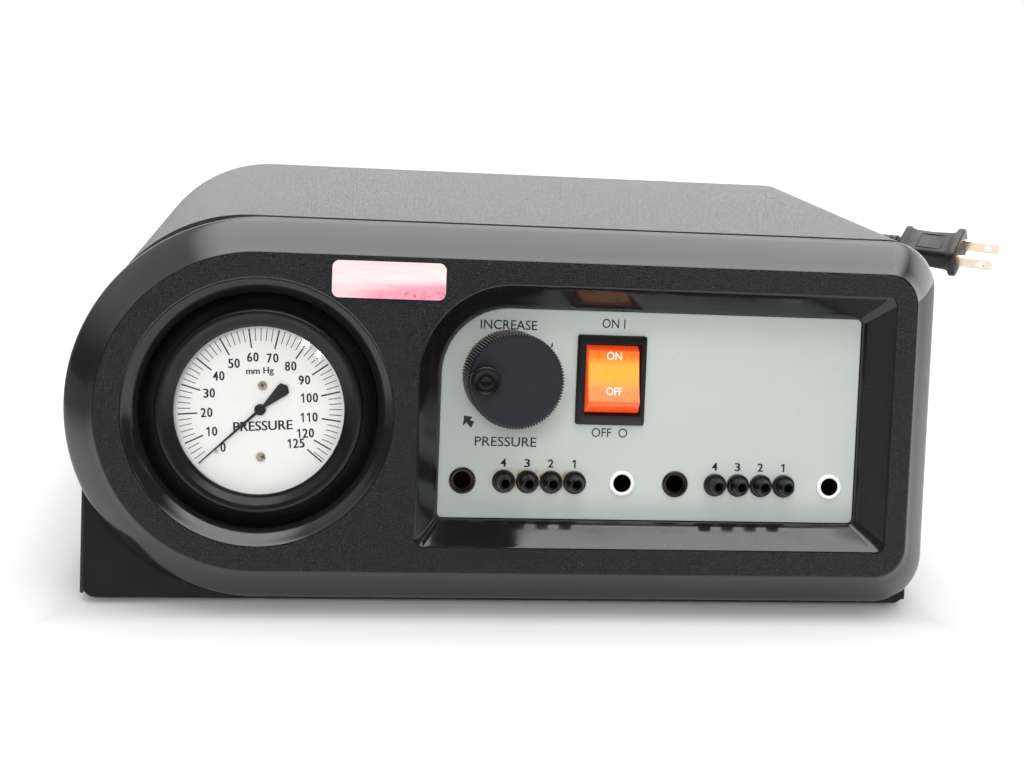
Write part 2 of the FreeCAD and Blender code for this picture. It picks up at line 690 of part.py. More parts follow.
# --- cover --------------------------------------------------------------------------------
COVER_HALF_F = "(base_width / 2 + cover_play + sheet_thick)"
COVER_HALF = HX + S["cover_play"] + T
COVER_TOP_F = "(foot_height + case_height)"
COVER_TOP = FOOT + S["case_height"]
cover = new_body("cover_form")
put(cover, ("0", MIDDLE_F, "0"))
rounds = ("0.6", "0.6", "cover_corner", "cover_round")
outer_sketch = attached(cover, "XZ_Plane", "0")
rounded(
    outer_sketch,
    "-" + COVER_HALF_F,
    COVER_HALF_F,
    "foot_height + 0.4",
    COVER_TOP_F,
    rounds,
    (-COVER_HALF, COVER_HALF, FOOT + 0.4, COVER_TOP, (0.6, 0.6, S["cover_corner"], S["cover_round"])),
)
pad(cover, outer_sketch, "base_depth", True)
inner_sketch = attached(cover, "XZ_Plane", "0")
IN_HALF = COVER_HALF - T
rounded(
    inner_sketch,
    "-" + COVER_HALF_F + " + sheet_thick",
    COVER_HALF_F + " - sheet_thick",
    "foot_height - 10",
    COVER_TOP_F + " - sheet_thick",
    ("0.6", "0.6", "cover_corner - sheet_thick", "cover_round - sheet_thick"),
    (-IN_HALF, IN_HALF, FOOT - 10, COVER_TOP - T, (0.6, 0.6, S["cover_corner"] - T, S["cover_round"] - T)),
)
pocket(cover, inner_sketch, "base_depth + 20", True)
# The front edge leans with the chassis face.
front_cut = attached(cover, "YZ_Plane", "0")
rake_line = "-base_depth / 2 + cover_setback / cos(rake_angle) + ((%s) - foot_height) * tan(rake_angle)"
polygon(
    front_cut,
    [
        ("-base_depth / 2 - 60", "foot_height - 20", -HALF - 60, FOOT - 20),
        (
            rake_line % "foot_height - 20",
            "foot_height - 20",
            -HALF + S["cover_setback"] / COS - 20 * TAN,
            FOOT - 20,
        ),
        (
            rake_line % (COVER_TOP_F + " + 10"),
            COVER_TOP_F + " + 10",
            -HALF + S["cover_setback"] / COS + (COVER_TOP + 10 - FOOT) * TAN,
            COVER_TOP + 10,
        ),
        ("-base_depth / 2 - 60", COVER_TOP_F + " + 10", -HALF - 60, COVER_TOP + 10),
    ],
)
pocket(cover, front_cut, "base_width + 40", True)
keep(cut(cover, fuse(screw_clearances()), "top_cover"))

# --- bezel --------------------------------------------------------------------------------
bezel = body_on_panel("bezel_form")
BL, BR, BB, BT = S["bezel_left"], S["bezel_right"], S["bezel_bottom"], S["bezel_top"]
CW = S["chamfer_width"]
W = S["bezel_wall"]


def outline(offset, inset, inset_now, corner, corner_now):
    sketch = attached(bezel, "XY_Plane", offset)
    return stadium(
        sketch,
        "-bezel_left + (%s)" % inset,
        "bezel_right - (%s)" % inset,
        "-bezel_bottom + (%s)" % inset,
        "bezel_top - (%s)" % inset,
        corner,
        (-BL + inset_now, BR - inset_now, -BB + inset_now, BT - inset_now, corner_now),
    )


pad(bezel, outline("-panel_out", "0", 0, "bezel_corner", S["bezel_corner"]), "rim_depth")
loft(
    bezel,
    "AdditiveLoft",
    outline("-panel_out + rim_depth", "0", 0, "bezel_corner", S["bezel_corner"]),
    outline("face_height", "chamfer_width", CW, "face_corner", S["face_corner"]),
)
# Hollow back, a wall thick all round.
loft(
    bezel,
    "SubtractiveLoft",
    outline("-panel_out", "bezel_wall", W, "bezel_corner - bezel_wall", S["bezel_corner"] - W),
    outline(
        "face_height - bezel_wall",
        "chamfer_width + bezel_wall * 0.8",
        CW + W * 0.8,
        "face_corner - bezel_wall * 0.8",
        S["face_corner"] - W * 0.8,
    ),
)
PL, PR, PB, PT = S["plate_left"], S["plate_right"], S["plate_bottom"], S["plate_top"]
PG, RS = S["plate_gap"], S["recess_slope"]


def recess(offset, grow, grow_now, small, small_now, body=None):
    sketch = attached(body or bezel, "XY_Plane", offset)
    return rounded(
        sketch,
        "-plate_left - (%s)" % grow,
        "plate_right + (%s)" % grow,
        "-plate_bottom - (%s)" % grow,
        "plate_top + (%s)" % grow,
        (small, small, small, "plate_round + (%s)" % grow),
        (
            -PL - grow_now,
            PR + grow_now,
            -PB - grow_now,
            PT + grow_now,
            (small_now, small_now, small_now, S["plate_round"] + grow_now),
        ),
    )


WALL_CORNER = ("recess_corner + bezel_wall", S["recess_corner"] + W)
loft(
    bezel,
    "AdditiveLoft",
    recess("-panel_out", "plate_gap + bezel_wall", PG + W, *WALL_CORNER),
    recess("face_height - bezel_wall / 2", "recess_slope + bezel_wall", RS + W, *WALL_CORNER),
)
PLATE_CORNER = ("plate_corner + plate_gap", S["plate_corner"] + PG)
loft(
    bezel,
    "SubtractiveLoft",
    recess("0", "plate_gap", PG, *PLATE_CORNER),
    recess("face_height", "recess_slope", RS, "recess_corner", S["recess_corner"]),
)
pocket(bezel, recess("0", "plate_gap", PG, *PLATE_CORNER), "plate_thick")
GU, GV = S["gauge_u"], S["gauge_v"]


def round_gauge(offset, radius, radius_now):
    """Circle round the gauge's centre, at height offset in the bezel."""
    return circle(attached(bezel, "XY_Plane", offset), "gauge_u", "gauge_v", radius, (GU, GV, radius_now))


COVE = S["cove_radius"]
FLOOR_RADIUS = ("cove_radius - cove_slope", COVE - S["cove_slope"])
cove_block = round_gauge("-panel_out", "cove_radius + bezel_wall", COVE + W)
pad(bezel, cove_block, "panel_out + face_height - bezel_wall / 2")
pocket(bezel, round_gauge("face_height + 1", *FLOOR_RADIUS), "face_height + 1 + plate_thick")
loft(
    bezel,
    "SubtractiveLoft",
    round_gauge("face_height - cove_drop", *FLOOR_RADIUS),
    round_gauge("face_height", "cove_radius", COVE),
)
bosses = [
    cyl("boss_radius", "panel_out + face_height - bezel_wall", (u, v, "-panel_out"), "panel") for u, v in BOSSES
]
boss_bores = [cyl("boss_hole", "8", (u, v, "-panel_out - 0.5"), "panel") for u, v in BOSSES]
keep(cut(fuse([bezel] + bosses), fuse([panel_holes, gauge_hole] + boss_bores), "front_bezel"))

# --- panel plate and label ----------------------------------------------------------------
plate = body_on_panel("plate_form")
pad(plate, recess("-plate_thick", "0", 0, "plate_corner", S["plate_corner"], plate), "plate_thick")
keep(cut(plate, panel_holes, "front_panel"))

label = body_on_panel("blank_label")
LU, LV = -S["label_left"], S["label_low"]
label_sketch = attached(label, "XY_Plane", "face_height")
rounded(
    label_sketch,
    "-label_left",
    "-label_left + label_width",
    "label_low",
    "label_low + label_height",
    ("label_round",) * 4,
    (LU, LU + S["label_width"], LV, LV + S["label_height"], (S["label_round"],) * 4),
)
pad(label, label_sketch, "label_thick")
keep(label)

# --- fasteners and feet -------------------------------------------------------------------
feet = []
for x, y in FEET:
    feet.append(
        fuse(
            [
                cone("foot_radius - 0.8", "foot_radius", "foot_height", (x, y, "0")),
                cyl("2.4", "sheet_thick + 0.2", (x, y, "foot_height")),
                cone("3.3", "2.2", "1.6", (x, y, "foot_height + sheet_thick + 0.2")),
            ]
        )
    )
keep(group(feet, "rubber_feet"))

bezel_screws = []
for u, v in BOSSES:
    bezel_screws.append(
        fuse(
            [
                cyl("3", "2", (u, v, "-panel_out - sheet_thick - 2"), "panel"),
                cyl("boss_hole - 0.05", "7.5", (u, v, "-panel_out - sheet_thick - 0.5"), "panel"),
            ]
        )
    )
keep(group(bezel_screws, "bezel_screws"))

cover_screws = []
for side, y in cover_screw_spots:
    head = "%d * %s" % (side, COVER_HALF_F) if side > 0 else "-%s - 1.8" % COVER_HALF_F
    shank = "base_width / 2 - 5" if side > 0 else "-%s - 1" % COVER_HALF_F
    cover_screws.append(
        fuse(
            [
                cyl("3.4", "1.8", (head, y, cover_screw_level), "x"),
                cyl("1.75", "6 + cover_play + sheet_thick", (shank, y, cover_screw_level), "x"),
            ]
        )
    )
keep(group(cover_screws, "cover_screws"))

# --- hose ports and guide sockets ---------------------------------------------------------
BARB = "(port_length - 1.6) * 0.45"
for g, label_text in ((0, "hose_ports_left"), (1, "hose_ports_right")):
    ports = []
    for i in range(4):
        u = port_u(g, i)
        outer = fuse(
            [
                cyl("port_flange", "1.6", (u, "0", "0"), "panel"),
                cyl("port_stem - 0.6", "port_length", (u, "0", "0"), "panel"),
                cone("port_stem", "port_stem - 0.7", BARB, (u, "0", "1.6"), "panel"),
                cone("port_stem - 0.1", "port_stem - 0.8", BARB, (u, "0", "1.6 + " + BARB), "panel"),
                cyl("port_stem", "port_back - 3", (u, "0", "-port_back + 3"), "panel"),
                cyl("port_stem - 0.7", "port_back", (u, "0", "-port_back"), "panel"),
                cyl("port_flange", "1.8", (u, "0", "-panel_out - sheet_thick - 1.8"), "panel"),
            ]
        )
        bore = cyl("port_bore", "port_length + port_back + 2", (u, "0", "-port_back - 1"), "panel")
        ports.append(cut(outer, bore))
    keep(group(ports, label_text))


def guide_socket(u, flange, bore):
    outer = fuse(
        [
            cyl(flange, "1.0", (u, "0", "0"), "panel"),
            cyl("socket_body", "socket_depth + 2", (u, "0", "-socket_depth - 2"), "panel"),
            cyl("socket_body + 1.4", "1.8", (u, "0", "-panel_out - sheet_thick - 1.8"), "panel"),
        ]
    )
    return cut(outer, cyl(bore, "socket_depth + 2", (u, "0", "-socket_depth"), "panel"))


SLEEVE_HOLE = "socket_bore + sleeve_wall + sleeve_play"
keep(group([guide_socket(u, "socket_flange", SLEEVE_HOLE) for u in SOCKETS], "guide_sockets_black"))
keep(group([guide_socket(u, "socket_flange - 0.15", "socket_bore") for u in WHITES], "guide_sockets_white"))
sleeves = [
    cut(
        cyl("socket_bore + sleeve_wall", "socket_depth - 0.4", (u, "0", "-socket_depth"), "panel"),
        cyl("socket_bore", "socket_depth + 2", (u, "0", "-socket_depth - 1"), "panel"),
    )
    for u in SOCKETS
]
keep(group(sleeves, "guide_sleeves"))

manifold = block(
    "3 * port_pitch + group_pitch + 12",
    "manifold_height",
    "manifold_depth",
    ("port_start - 6", "-manifold_height / 2", "-port_back - manifold_depth"),
    "panel",
)
socket_clear = [
    cyl("socket_body + 1.6", "manifold_depth + 4", (u, "0", "-port_back - 3"), "panel")
    for u in (SOCKETS[1], WHITES[0])
]
keep(cut(manifold, fuse(socket_clear), "port_manifold"))

# --- gauge --------------------------------------------------------------------------------


def at_gauge(w, du="0", dv="0"):
    return ("gauge_u + (%s)" % du, "gauge_v + (%s)" % dv, w)


ring_outer = cyl("ring_radius", "ring_front + plate_thick", at_gauge("-plate_thick"), "panel")
ring_parts = fuse(
    [
        cyl("gauge_case + lens_play", "case_front + plate_thick + 1", at_gauge("-plate_thick - 1"), "panel"),
        cyl("lens_radius + lens_play", "lens_thick + 1", at_gauge("case_front - 1"), "panel"),
        cone(
            "ring_lip",
            "ring_lip + 2.7",
            "ring_front - case_front - lens_thick",
            at_gauge("case_front + lens_thick"),
            "panel",
        ),
    ]
)
keep(cut(ring_outer, ring_parts, "gauge_ring"))
case_shell = cut(
    cyl("gauge_case", "gauge_depth + case_front", at_gauge("-gauge_depth"), "panel"),
    cyl("gauge_case - gauge_wall", "gauge_depth + case_front", at_gauge("-gauge_depth + gauge_wall"), "panel"),
)
keep(cut(case_shell, cyl("4.3", "gauge_wall + 2", at_gauge("-gauge_depth - 1"), "panel"), "gauge_case"))
keep(named(cyl("lens_radius", "lens_thick", at_gauge("case_front"), "panel"), "gauge_lens"))
dial_holes = fuse(
    [cyl("arbor_radius + 0.6", "dial_thick + 2", at_gauge("-1"), "panel")]
    + [cyl("1.05", "dial_thick + 2", at_gauge("-1", "0.6", dv), "panel") for dv in ("8.1", "-16.2")]
)
keep(cut(cyl("dial_radius", "dial_thick", at_gauge("0"), "panel"), dial_holes, "gauge_dial"))
dial_screws = [
    fuse(
        [
            cyl("1.6", "0.6", at_gauge("dial_thick", "0.6", dv), "panel"),
            cyl("0.95", "dial_thick + 2", at_gauge("-2 + 0.1", "0.6", dv), "panel"),
        ]
    )
    for dv in ("8.1", "-16.2")
]
dial_screws.append(cyl("0.45", "1.4", at_gauge("dial_thick", "-14.2", "-14.6"), "panel"))
keep(group(dial_screws, "gauge_dial_screws"))
# Movement: two plates on four pillars carry the arbor and the sector.
SECTOR_V = "(-pinion_radius - sector_radius)"
plates = [
    cyl("20", "1.6", at_gauge("-1.6", "0", "-5"), "panel"),
    cyl("20", "1.2", at_gauge("-13.2", "0", "-5"), "panel"),
]
pillars = [cyl("2", "12", at_gauge("-13", du, dv), "panel") for du in ("-15", "15") for dv in ("3", "-13")]
BAR_LONG = "gauge_depth - gauge_wall - 13.1"
feet_bars = [
    block("3", "12", BAR_LONG, at_gauge("-gauge_depth + gauge_wall", du, "-11"), "panel")
    for du in ("-19.9", "16.9")
]
movement_holes = fuse(
    [
        cyl("arbor_radius + arbor_play", "20", at_gauge("-16"), "panel"),
        cyl("0.8 + arbor_play", "20", at_gauge("-16", "0", SECTOR_V), "panel"),
    ]
    + [cyl("0.95", "4", at_gauge("-3", "0.6", dv), "panel") for dv in ("8.1", "-16.2")]
)
keep(cut(fuse(plates + pillars + feet_bars), movement_holes, "gauge_movement"))
capsule = []
for k in range(6):
    fold_low = "-gauge_depth + gauge_wall + 1.2 + 1.7 * %d" % k
    capsule.append(cyl("15" if k % 2 else "13", "1.7", at_gauge(fold_low, "0", "2"), "panel"))
stem = fuse(
    capsule
    + [
        cyl("3.9", "1.4", at_gauge("-gauge_depth + gauge_wall"), "panel"),
        cyl("4.2", "8 + gauge_wall", at_gauge("-gauge_depth - 8"), "panel"),
        cyl("2.4", "12", at_gauge("-gauge_depth - 20"), "panel"),
        cone("2.4", "3.0", "2", at_gauge("-gauge_depth - 20"), "panel"),
    ]
)
keep(cut(stem, cyl("1.1", "24", at_gauge("-gauge_depth - 21"), "panel"), "gauge_capsule"))
bar_out = "(gauge_case + 3)"
bar_left = "-%s - 1.5" % bar_out
clamp_low = "-gauge_depth - 1.5"
clamp_long = "gauge_depth + 1.5 - panel_out - sheet_thick"
clamp = fuse(
    [
        block("2 * %s + 3" % bar_out, "9", "1.5", at_gauge(clamp_low, bar_left, "-4.5"), "panel"),
        block("1.5", "9", clamp_long, at_gauge(clamp_low, bar_out, "-4.5"), "panel"),
        block("1.5", "9", clamp_long, at_gauge(clamp_low, bar_left, "-4.5"), "panel"),
    ]
)
keep(cut(clamp, cyl("4.4", "4", at_gauge("-gauge_depth - 3"), "panel"), "gauge_clamp"))
clamp_nut = cut(
    hexagon("8", "4", at_gauge("-gauge_depth - 5.5"), "panel"),
    cyl("4.3", "8", at_gauge("-gauge_depth - 7"), "panel"),
)

# Pointer, in its place at rest: along is from the arbor to the tip, across to its left.


def on_pointer(along, across, along_now, across_now):
    lean = math.radians(S["pointer_zero"])
    return (
        "gauge_u - (%s) * sin(pointer_zero) - (%s) * cos(pointer_zero)" % (along, across),
        "gauge_v + (%s) * cos(pointer_zero) - (%s) * sin(pointer_zero)" % (along, across),
        GU - along_now * math.sin(lean) - across_now * math.cos(lean),
        GV + along_now * math.cos(lean) - across_now * math.sin(lean),
    )


pointer = body_on_panel("pointer_form")
TIP, TAIL = S["pointer_length"], S["pointer_tail"]
half_outline = [
    ("pointer_length", 0.2, TIP),
    ("0", 0.9, 0.0),
    ("-pointer_tail + 4.5", 0.8, 4.5 - TAIL),
    ("-pointer_tail + 2.5", 2.7, 2.5 - TAIL),
    ("-pointer_tail", 2.2, -TAIL),
]
left_side = [on_pointer(along, "%s" % across, now, across) for along, across, now in half_outline]
right_side = [on_pointer(along, "-%s" % across, now, -across) for along, across, now in reversed(half_outline)]
pad(pointer, polygon(attached(pointer, "XY_Plane", "dial_thick + 0.7"), left_side + right_side), "0.5")
keep(fuse([pointer, cyl("2.4", "0.9", at_gauge("dial_thick + 0.7"), "panel")], "gauge_pointer"))
GEAR_LOW = "-9.6"
keep(
    fuse(
        [
            cyl("arbor_radius", "dial_thick + 0.7 + 12.9", at_gauge("-12.9"), "panel"),
            cyl("pinion_radius - 0.05", "1.8", at_gauge(GEAR_LOW + " - 0.3"), "panel"),
        ],
        "gauge_pinion",
    )
)
# The sector starts just past the pinion and sweeps seven times less than the pointer.
sector_span = cyl("sector_radius - 0.05", "1.2", at_gauge(GEAR_LOW, "0", SECTOR_V), "panel")
sector_span.Angle = 54
sector_span.Placement = Placement(sector_span.Placement.Base, PANEL.Rotation * Rotation(Vector(0, 0, 1), 44.5))
sector_span.setExpression("Placement.Rotation.Angle", None)
keep(
    fuse(
        [
            sector_span,
            cyl("2.2", "1.2", at_gauge(GEAR_LOW, "0", SECTOR_V), "panel"),
            cyl("0.8", "12.6", at_gauge("-12.9", "0", SECTOR_V), "panel"),
        ],
        "gauge_sector",
    )
)

# --- pressure knob, spinner and regulator -------------------------------------------------


def at_knob(w, du="0"):
    return ("knob_u + (%s)" % du, "knob_v", w)


knob = new_body("knob_form")
put(knob, at_knob("0"), "panel")
KR, KD = S["knob_radius"], S["knurl_depth"]
KNOB_TOP = "(knob_rise + knob_height)"
knob_circle = circle(attached(knob, "XY_Plane", "knob_rise"), "0", "0", "knob_radius", (0, 0, KR))
pad(knob, knob_circle, "knob_height - 0.8")
groove = polygon(
    attached(knob, "XY_Plane", KNOB_TOP),
    [
        ("knob_radius - knurl_depth", "0", KR - KD, 0),
        ("knob_radius + 0.3", "-0.7", KR + 0.3, -0.7),
        ("knob_radius + 0.3", "0.7", KR + 0.3, 0.7),
    ],
)
groove_cut = pocket(knob, groove, "knob_height + 1")
doc.recompute()
knurl = knob.newObject("PartDesign::PolarPattern", "Knurl")
knurl.Originals = [groove_cut]
knurl.Axis = (plane(knob, "Z_Axis"), [""])
knurl.Angle = 360
knurl.Occurrences = 60
knob.Tip = knurl
SPIN_W = "(%s + 0.3)" % KNOB_TOP
SPIN_U = "-spinner_offset"
pin_top = fuse(
    [
        cone("knob_radius - 0.1", "knob_radius - 0.9", "0.8", at_knob(KNOB_TOP + " - 0.8"), "panel"),
        cyl("spinner_pin", "3.6", at_knob(KNOB_TOP, SPIN_U), "panel"),
        cyl("spinner_pin + 0.3", "0.8", at_knob(KNOB_TOP + " + 2.6", SPIN_U), "panel"),
    ]
)
spindle_bore = cyl("spindle_radius + spindle_play", "14.2", at_knob("knob_rise - 0.1"), "panel")
screw_bore = cyl("1.6", "knob_radius", at_knob("knob_rise + 5", "spindle_radius - 1"), "panel-x")
keep(cut(fuse([knob, pin_top]), fuse([spindle_bore, screw_bore]), "pressure_knob"))
keep(
    named(
        cyl("1.5", "6", at_knob("knob_rise + 5", "spindle_radius + 0.05"), "panel-x"),
        "knob_set_screw",
    )
)
spinner = fuse(
    [
        cyl("spinner_radius", "spinner_height - 0.6", at_knob(SPIN_W, SPIN_U), "panel"),
        cone(
            "spinner_radius",
            "spinner_radius - 0.6",
            "0.6",
            at_knob(SPIN_W + " + spinner_height - 0.6", SPIN_U),
            "panel",
        ),
    ]
)
spinner_hole = fuse(
    [
        cyl("spinner_pin + spinner_play", "3.0", at_knob(SPIN_W + " - 1", SPIN_U), "panel"),
        cyl("spinner_pin + 0.3 + spinner_play * 2", "1.7", at_knob(SPIN_W + " + 2.0", SPIN_U), "panel"),
    ]
)
keep(cut(spinner, spinner_hole, "knob_spinner"))

BONNET_FRONT = "(-panel_out - sheet_thick)"
BONNET_BACK = "(%s - bonnet_length)" % BONNET_FRONT
keep(
    fuse(
        [
            cyl("spindle_radius", "knob_rise + 13.9 + 16", at_knob("-16"), "panel"),
            cyl("spindle_radius + 1.5", "1.5", at_knob(BONNET_FRONT + " - 3.7"), "panel"),
        ],
        "regulator_spindle",
    )
)
bonnet = fuse(
    [
        cyl("bonnet_radius", "bonnet_length", at_knob(BONNET_BACK), "panel"),
        cyl("bushing_radius", "panel_out + sheet_thick + 2.9", at_knob(BONNET_FRONT), "panel"),
    ]
)
bonnet_room = fuse(
    [
        cyl("bonnet_radius - 2", "bonnet_length - 2", at_knob(BONNET_BACK), "panel"),
        cyl("spindle_radius + spindle_play", "20", at_knob("-10"), "panel"),
    ]
)
keep(cut(bonnet, bonnet_room, "regulator_bonnet"))
bushing_nut = cut(
    hexagon("8", "2.4", at_knob("0"), "panel"),
    cyl("bushing_radius + 0.1", "4", at_knob("-1"), "panel"),
)
keep(group([clamp_nut, bushing_nut], "mounting_nuts"))
seat = fuse(
    [
        cyl("bonnet_radius - 2.6", "2", at_knob("-14"), "panel"),
        cyl("spindle_radius + 2", "2.5", at_knob("-16.5"), "panel"),
    ]
)
keep(cut(seat, cyl("spindle_radius + spindle_play", "8", at_knob("-18"), "panel"), "regulator_spring_seat"))
keep(
    fuse(
        [
            cyl("bonnet_radius + 2", "0.8", at_knob(BONNET_BACK + " - 0.8"), "panel"),
            cyl("bonnet_radius - 4", "1", at_knob(BONNET_BACK), "panel"),
        ],
        "regulator_diaphragm",
    )
)
BODY_BACK = "(%s - 0.8 - regulator_length)" % BONNET_BACK
BODY_OUT = "(bonnet_radius + 2)"
BARB_W = "(%s + regulator_length / 2)" % BODY_BACK
keep(
    fuse(
        [
            cyl(BODY_OUT, "regulator_length", at_knob(BODY_BACK), "panel"),
            cyl("2.6", "10", at_knob(BODY_BACK + " - 10"), "panel"),
            cyl("2.6", BODY_OUT + " * 2 + 16", at_knob(BARB_W, "-%s - 8" % BODY_OUT), "panel-x"),
        ],
        "regulator_body",
    )
)

# --- rocker switch ------------------------------------------------------------------------
PIVOT = ("switch_u", "switch_v", "-rocker_pivot")
shell = fuse(
    [
        at_switch("switch_width", "switch_height", "frame_rise", "0"),
        at_switch(BODY_W, BODY_H, "switch_depth", "-switch_depth"),
    ]
)
rocker_pins = cyl(
    "rocker_pin + pin_play",
    BODY_W + " + 2",
    ("switch_u - %s / 2 - 1" % BODY_W, "switch_v", "-rocker_pivot"),
    "panel-x",
)
shell_room = fuse(
    [
        at_switch(ROOM_W, ROOM_H, "frame_rise + 14", "-13"),
        at_switch("14", "14", "8", "-20"),
        rocker_pins,
    ]
)
keep(cut(shell, shell_room, "switch_housing"))
rocker = new_body("rocker_form")
put(rocker, PIVOT, "panel")
bind(rocker, "Placement.Rotation.Angle", "90 - rake_angle - rocker_throw / 2")
RR = S["rocker_reach"]
rocker_outline = [
    ("rocker_reach - 2.7", "7.8", RR - 2.7, 7.8),
    ("0", "6.6", 0, 6.6),
    ("-rocker_reach + 2.7", "7.8", 2.7 - RR, 7.8),
    ("-rocker_reach", "2.5", -RR, 2.5),
    ("-rocker_reach", "0", -RR, 0),
    ("-rocker_reach + 3.6", "-4", 3.6 - RR, -4),
    ("rocker_reach - 3.6", "-4", RR - 3.6, -4),
    ("rocker_reach", "0", RR, 0),
    ("rocker_reach", "2.5", RR, 2.5),
]
pad(rocker, polygon(attached(rocker, "YZ_Plane", "0"), rocker_outline), "rocker_width", True)
trunnions = cyl(
    "rocker_pin",
    ROOM_W + " + 2 * switch_wall - 0.2",
    ("switch_u - %s / 2 - switch_wall + 0.1" % ROOM_W, "switch_v", "-rocker_pivot"),
    "panel-x",
)
keep(fuse([rocker, trunnions], "switch_rocker"))
keep(
    named(
        cyl("2", "13.4", ("switch_u - 6.7", "switch_v", "-17"), "panel-x"),
        "switch_lamp",
    )
)
tabs = []
for du in ("-6", "6"):
    for dv in ("-9", "3"):
        corner = ("switch_u + %s - 0.4" % du, "switch_v + %s" % dv, "-switch_depth - 8")
        tabs.append(block("0.8", "6.3", "8", corner, "panel"))
keep(group(tabs, "switch_terminals"))

# --- distributor valve and gear motor -----------------------------------------------------


def at_valve(y, dx="0", dz="0"):
    return ("valve_x + (%s)" % dx, "valve_y + (%s)" % y, "valve_z + (%s)" % dz)


OUTLETS = [("-13.6", "-6.3"), ("-5.1", "-14.1"), ("5.1", "-14.1"), ("13.6", "-6.3")]
INLET = ("10", "13")
cover_plate = [cyl("valve_radius", "3", at_valve("0"), "y")]
cover_plate += [cyl("2.6", "9", at_valve("-8", dx, dz), "y") for dx, dz in OUTLETS + [INLET]]
keep(fuse(cover_plate, "valve_cover"))
valve_room = fuse(
    [
        cyl("rotor_radius + rotor_play", "8", at_valve("3"), "y"),
        cyl("shaft_radius + shaft_play", "20", at_valve("3"), "y"),
    ]
)
keep(cut(cyl("valve_radius", "15", at_valve("3"), "y"), valve_room, "valve_body"))
keep(
    fuse(
        [
            cyl("rotor_radius", "7.4", at_valve("3.3"), "y"),
            cyl("shaft_radius", "18", at_valve("8"), "y"),
        ],
        "valve_rotor",
    )
)
floor_top = "foot_height + sheet_thick"
bracket_left = "valve_x - bracket_width / 2"
bracket_high = "valve_z + 24 - (%s)" % floor_top
bracket = fuse(
    [
        block("bracket_width", "2", bracket_high, (bracket_left, "valve_y + 18", floor_top)),
        block("bracket_width", "bracket_foot", "2", (bracket_left, "valve_y + 20", floor_top)),
    ]
)
keep(cut(bracket, cyl("shaft_radius + 1", "6", at_valve("16"), "y"), "valve_bracket"))
motor = cyl("motor_radius", "motor_length", at_valve("20"), "y")
keep(cut(motor, cyl("shaft_radius + shaft_play", "6.5", at_valve("19.9"), "y"), "gear_motor"))

# --- compressor ---------------------------------------------------------------------------
PUMP_LOW = "(%s + pump_lift)" % floor_top
PUMP_Z = "(%s + pump_height / 2)" % PUMP_LOW
pump = block(
    "pump_width",
    "pump_depth",
    "pump_height",
    ("pump_x - pump_width / 2", "pump_y - pump_depth / 2", PUMP_LOW),
)


def at_pump(dx, dy="0", dz="0"):
    return ("pump_x + (%s)" % dx, "pump_y + (%s)" % dy, "%s + (%s)" % (PUMP_Z, dz))


pump_solid = fuse([pump, cyl("3", "9", ("pump_x", "pump_y", "%s + pump_height - 1" % PUMP_LOW))])
cylinder_bore = cyl("bore_radius", "pump_width + 2", at_pump("-pump_width / 2 - 1"), "x")
keep(cut(pump_solid, cylinder_bore, "compressor_housing"))
heads = [
    cyl("head_radius", "head_length", at_pump("pump_width / 2"), "x"),
    cyl("head_radius", "head_length", at_pump("-pump_width / 2 - head_length"), "x"),
]
keep(group(heads, "compressor_heads"))
PISTON = "(pump_width / 2 - 7)"
armature = fuse(
    [
        cyl("bore_radius - piston_play", "10", at_pump("-%s" % PISTON), "x"),
        cyl("bore_radius - piston_play", "10", at_pump("%s - 10" % PISTON), "x"),
        cyl("9", "2 * %s - 10" % PISTON, at_pump("-%s + 5" % PISTON), "x"),
    ]
)
keep(named(armature, "compressor_armature"))
mounts = []
for side_x in (-1, 1):
    for side_y in (-1, 1):
        mount_x = "pump_x + %d * (pump_width / 2 - mount_inset)" % side_x
        mount_y = "pump_y + %d * (pump_depth / 2 - mount_inset)" % side_y
        mounts.append(cyl("mount_radius", "pump_lift", (mount_x, mount_y, floor_top)))
keep(group(mounts, "compressor_mounts"))


def tube(points, radius, label):
    """Round tube along straight runs joined by tangent arcs."""
    edges = []
    start = points[0]
    radii = []
    for i in range(1, len(points) - 1):
        before = points[i] - points[i - 1]
        after = points[i + 1] - points[i]
        turn = before.getAngle(after)
        back = 0.45 * min(before.Length, after.Length)
        radii.append(back / math.tan(turn / 2))
        enter = points[i] - before.normalize() * back
        leave = points[i] + after.normalize() * back
        bisector = (enter + leave) * 0.5 - points[i]
        centre = points[i] + bisector.normalize() * (radii[-1] / math.cos(turn / 2))
        middle = centre + (points[i] - centre).normalize() * radii[-1]
        edges.append(Part.LineSegment(start, enter).toShape())
        edges.append(Part.Arc(enter, middle, leave).toShape())
        start = leave
    edges.append(Part.LineSegment(start, points[-1]).toShape())
    path = Part.Wire(edges)
    section = Part.Wire(Part.makeCircle(radius, points[0], points[1] - points[0]))
    swept = path.makePipeShell([section], True, False)
    expected = math.pi * radius ** 2 * path.Length
    print(label, "length %.0f" % path.Length, "radii", [round(r, 1) for r in radii])
    if abs(swept.Volume - expected) > 0.01 * expected:
        raise ValueError("%s: volume %.0f, expected %.0f" % (label, swept.Volume, expected))
    return swept


def coil_spring(radius, wire, low, high, turns, where):
    """Round-wire spring whose ends reach low and high along its own Z."""
    runs = 12 * turns
    rise = (high - low - 2 * wire) / runs
    points = []
    for i in range(runs + 1):
        angle = 2 * math.pi * turns * i / runs
        spot = Vector(radius * math.cos(angle), radius * math.sin(angle), low + wire + rise * i)
        points.append(where.multVec(spot))
    return tube(points, wire, "spring")


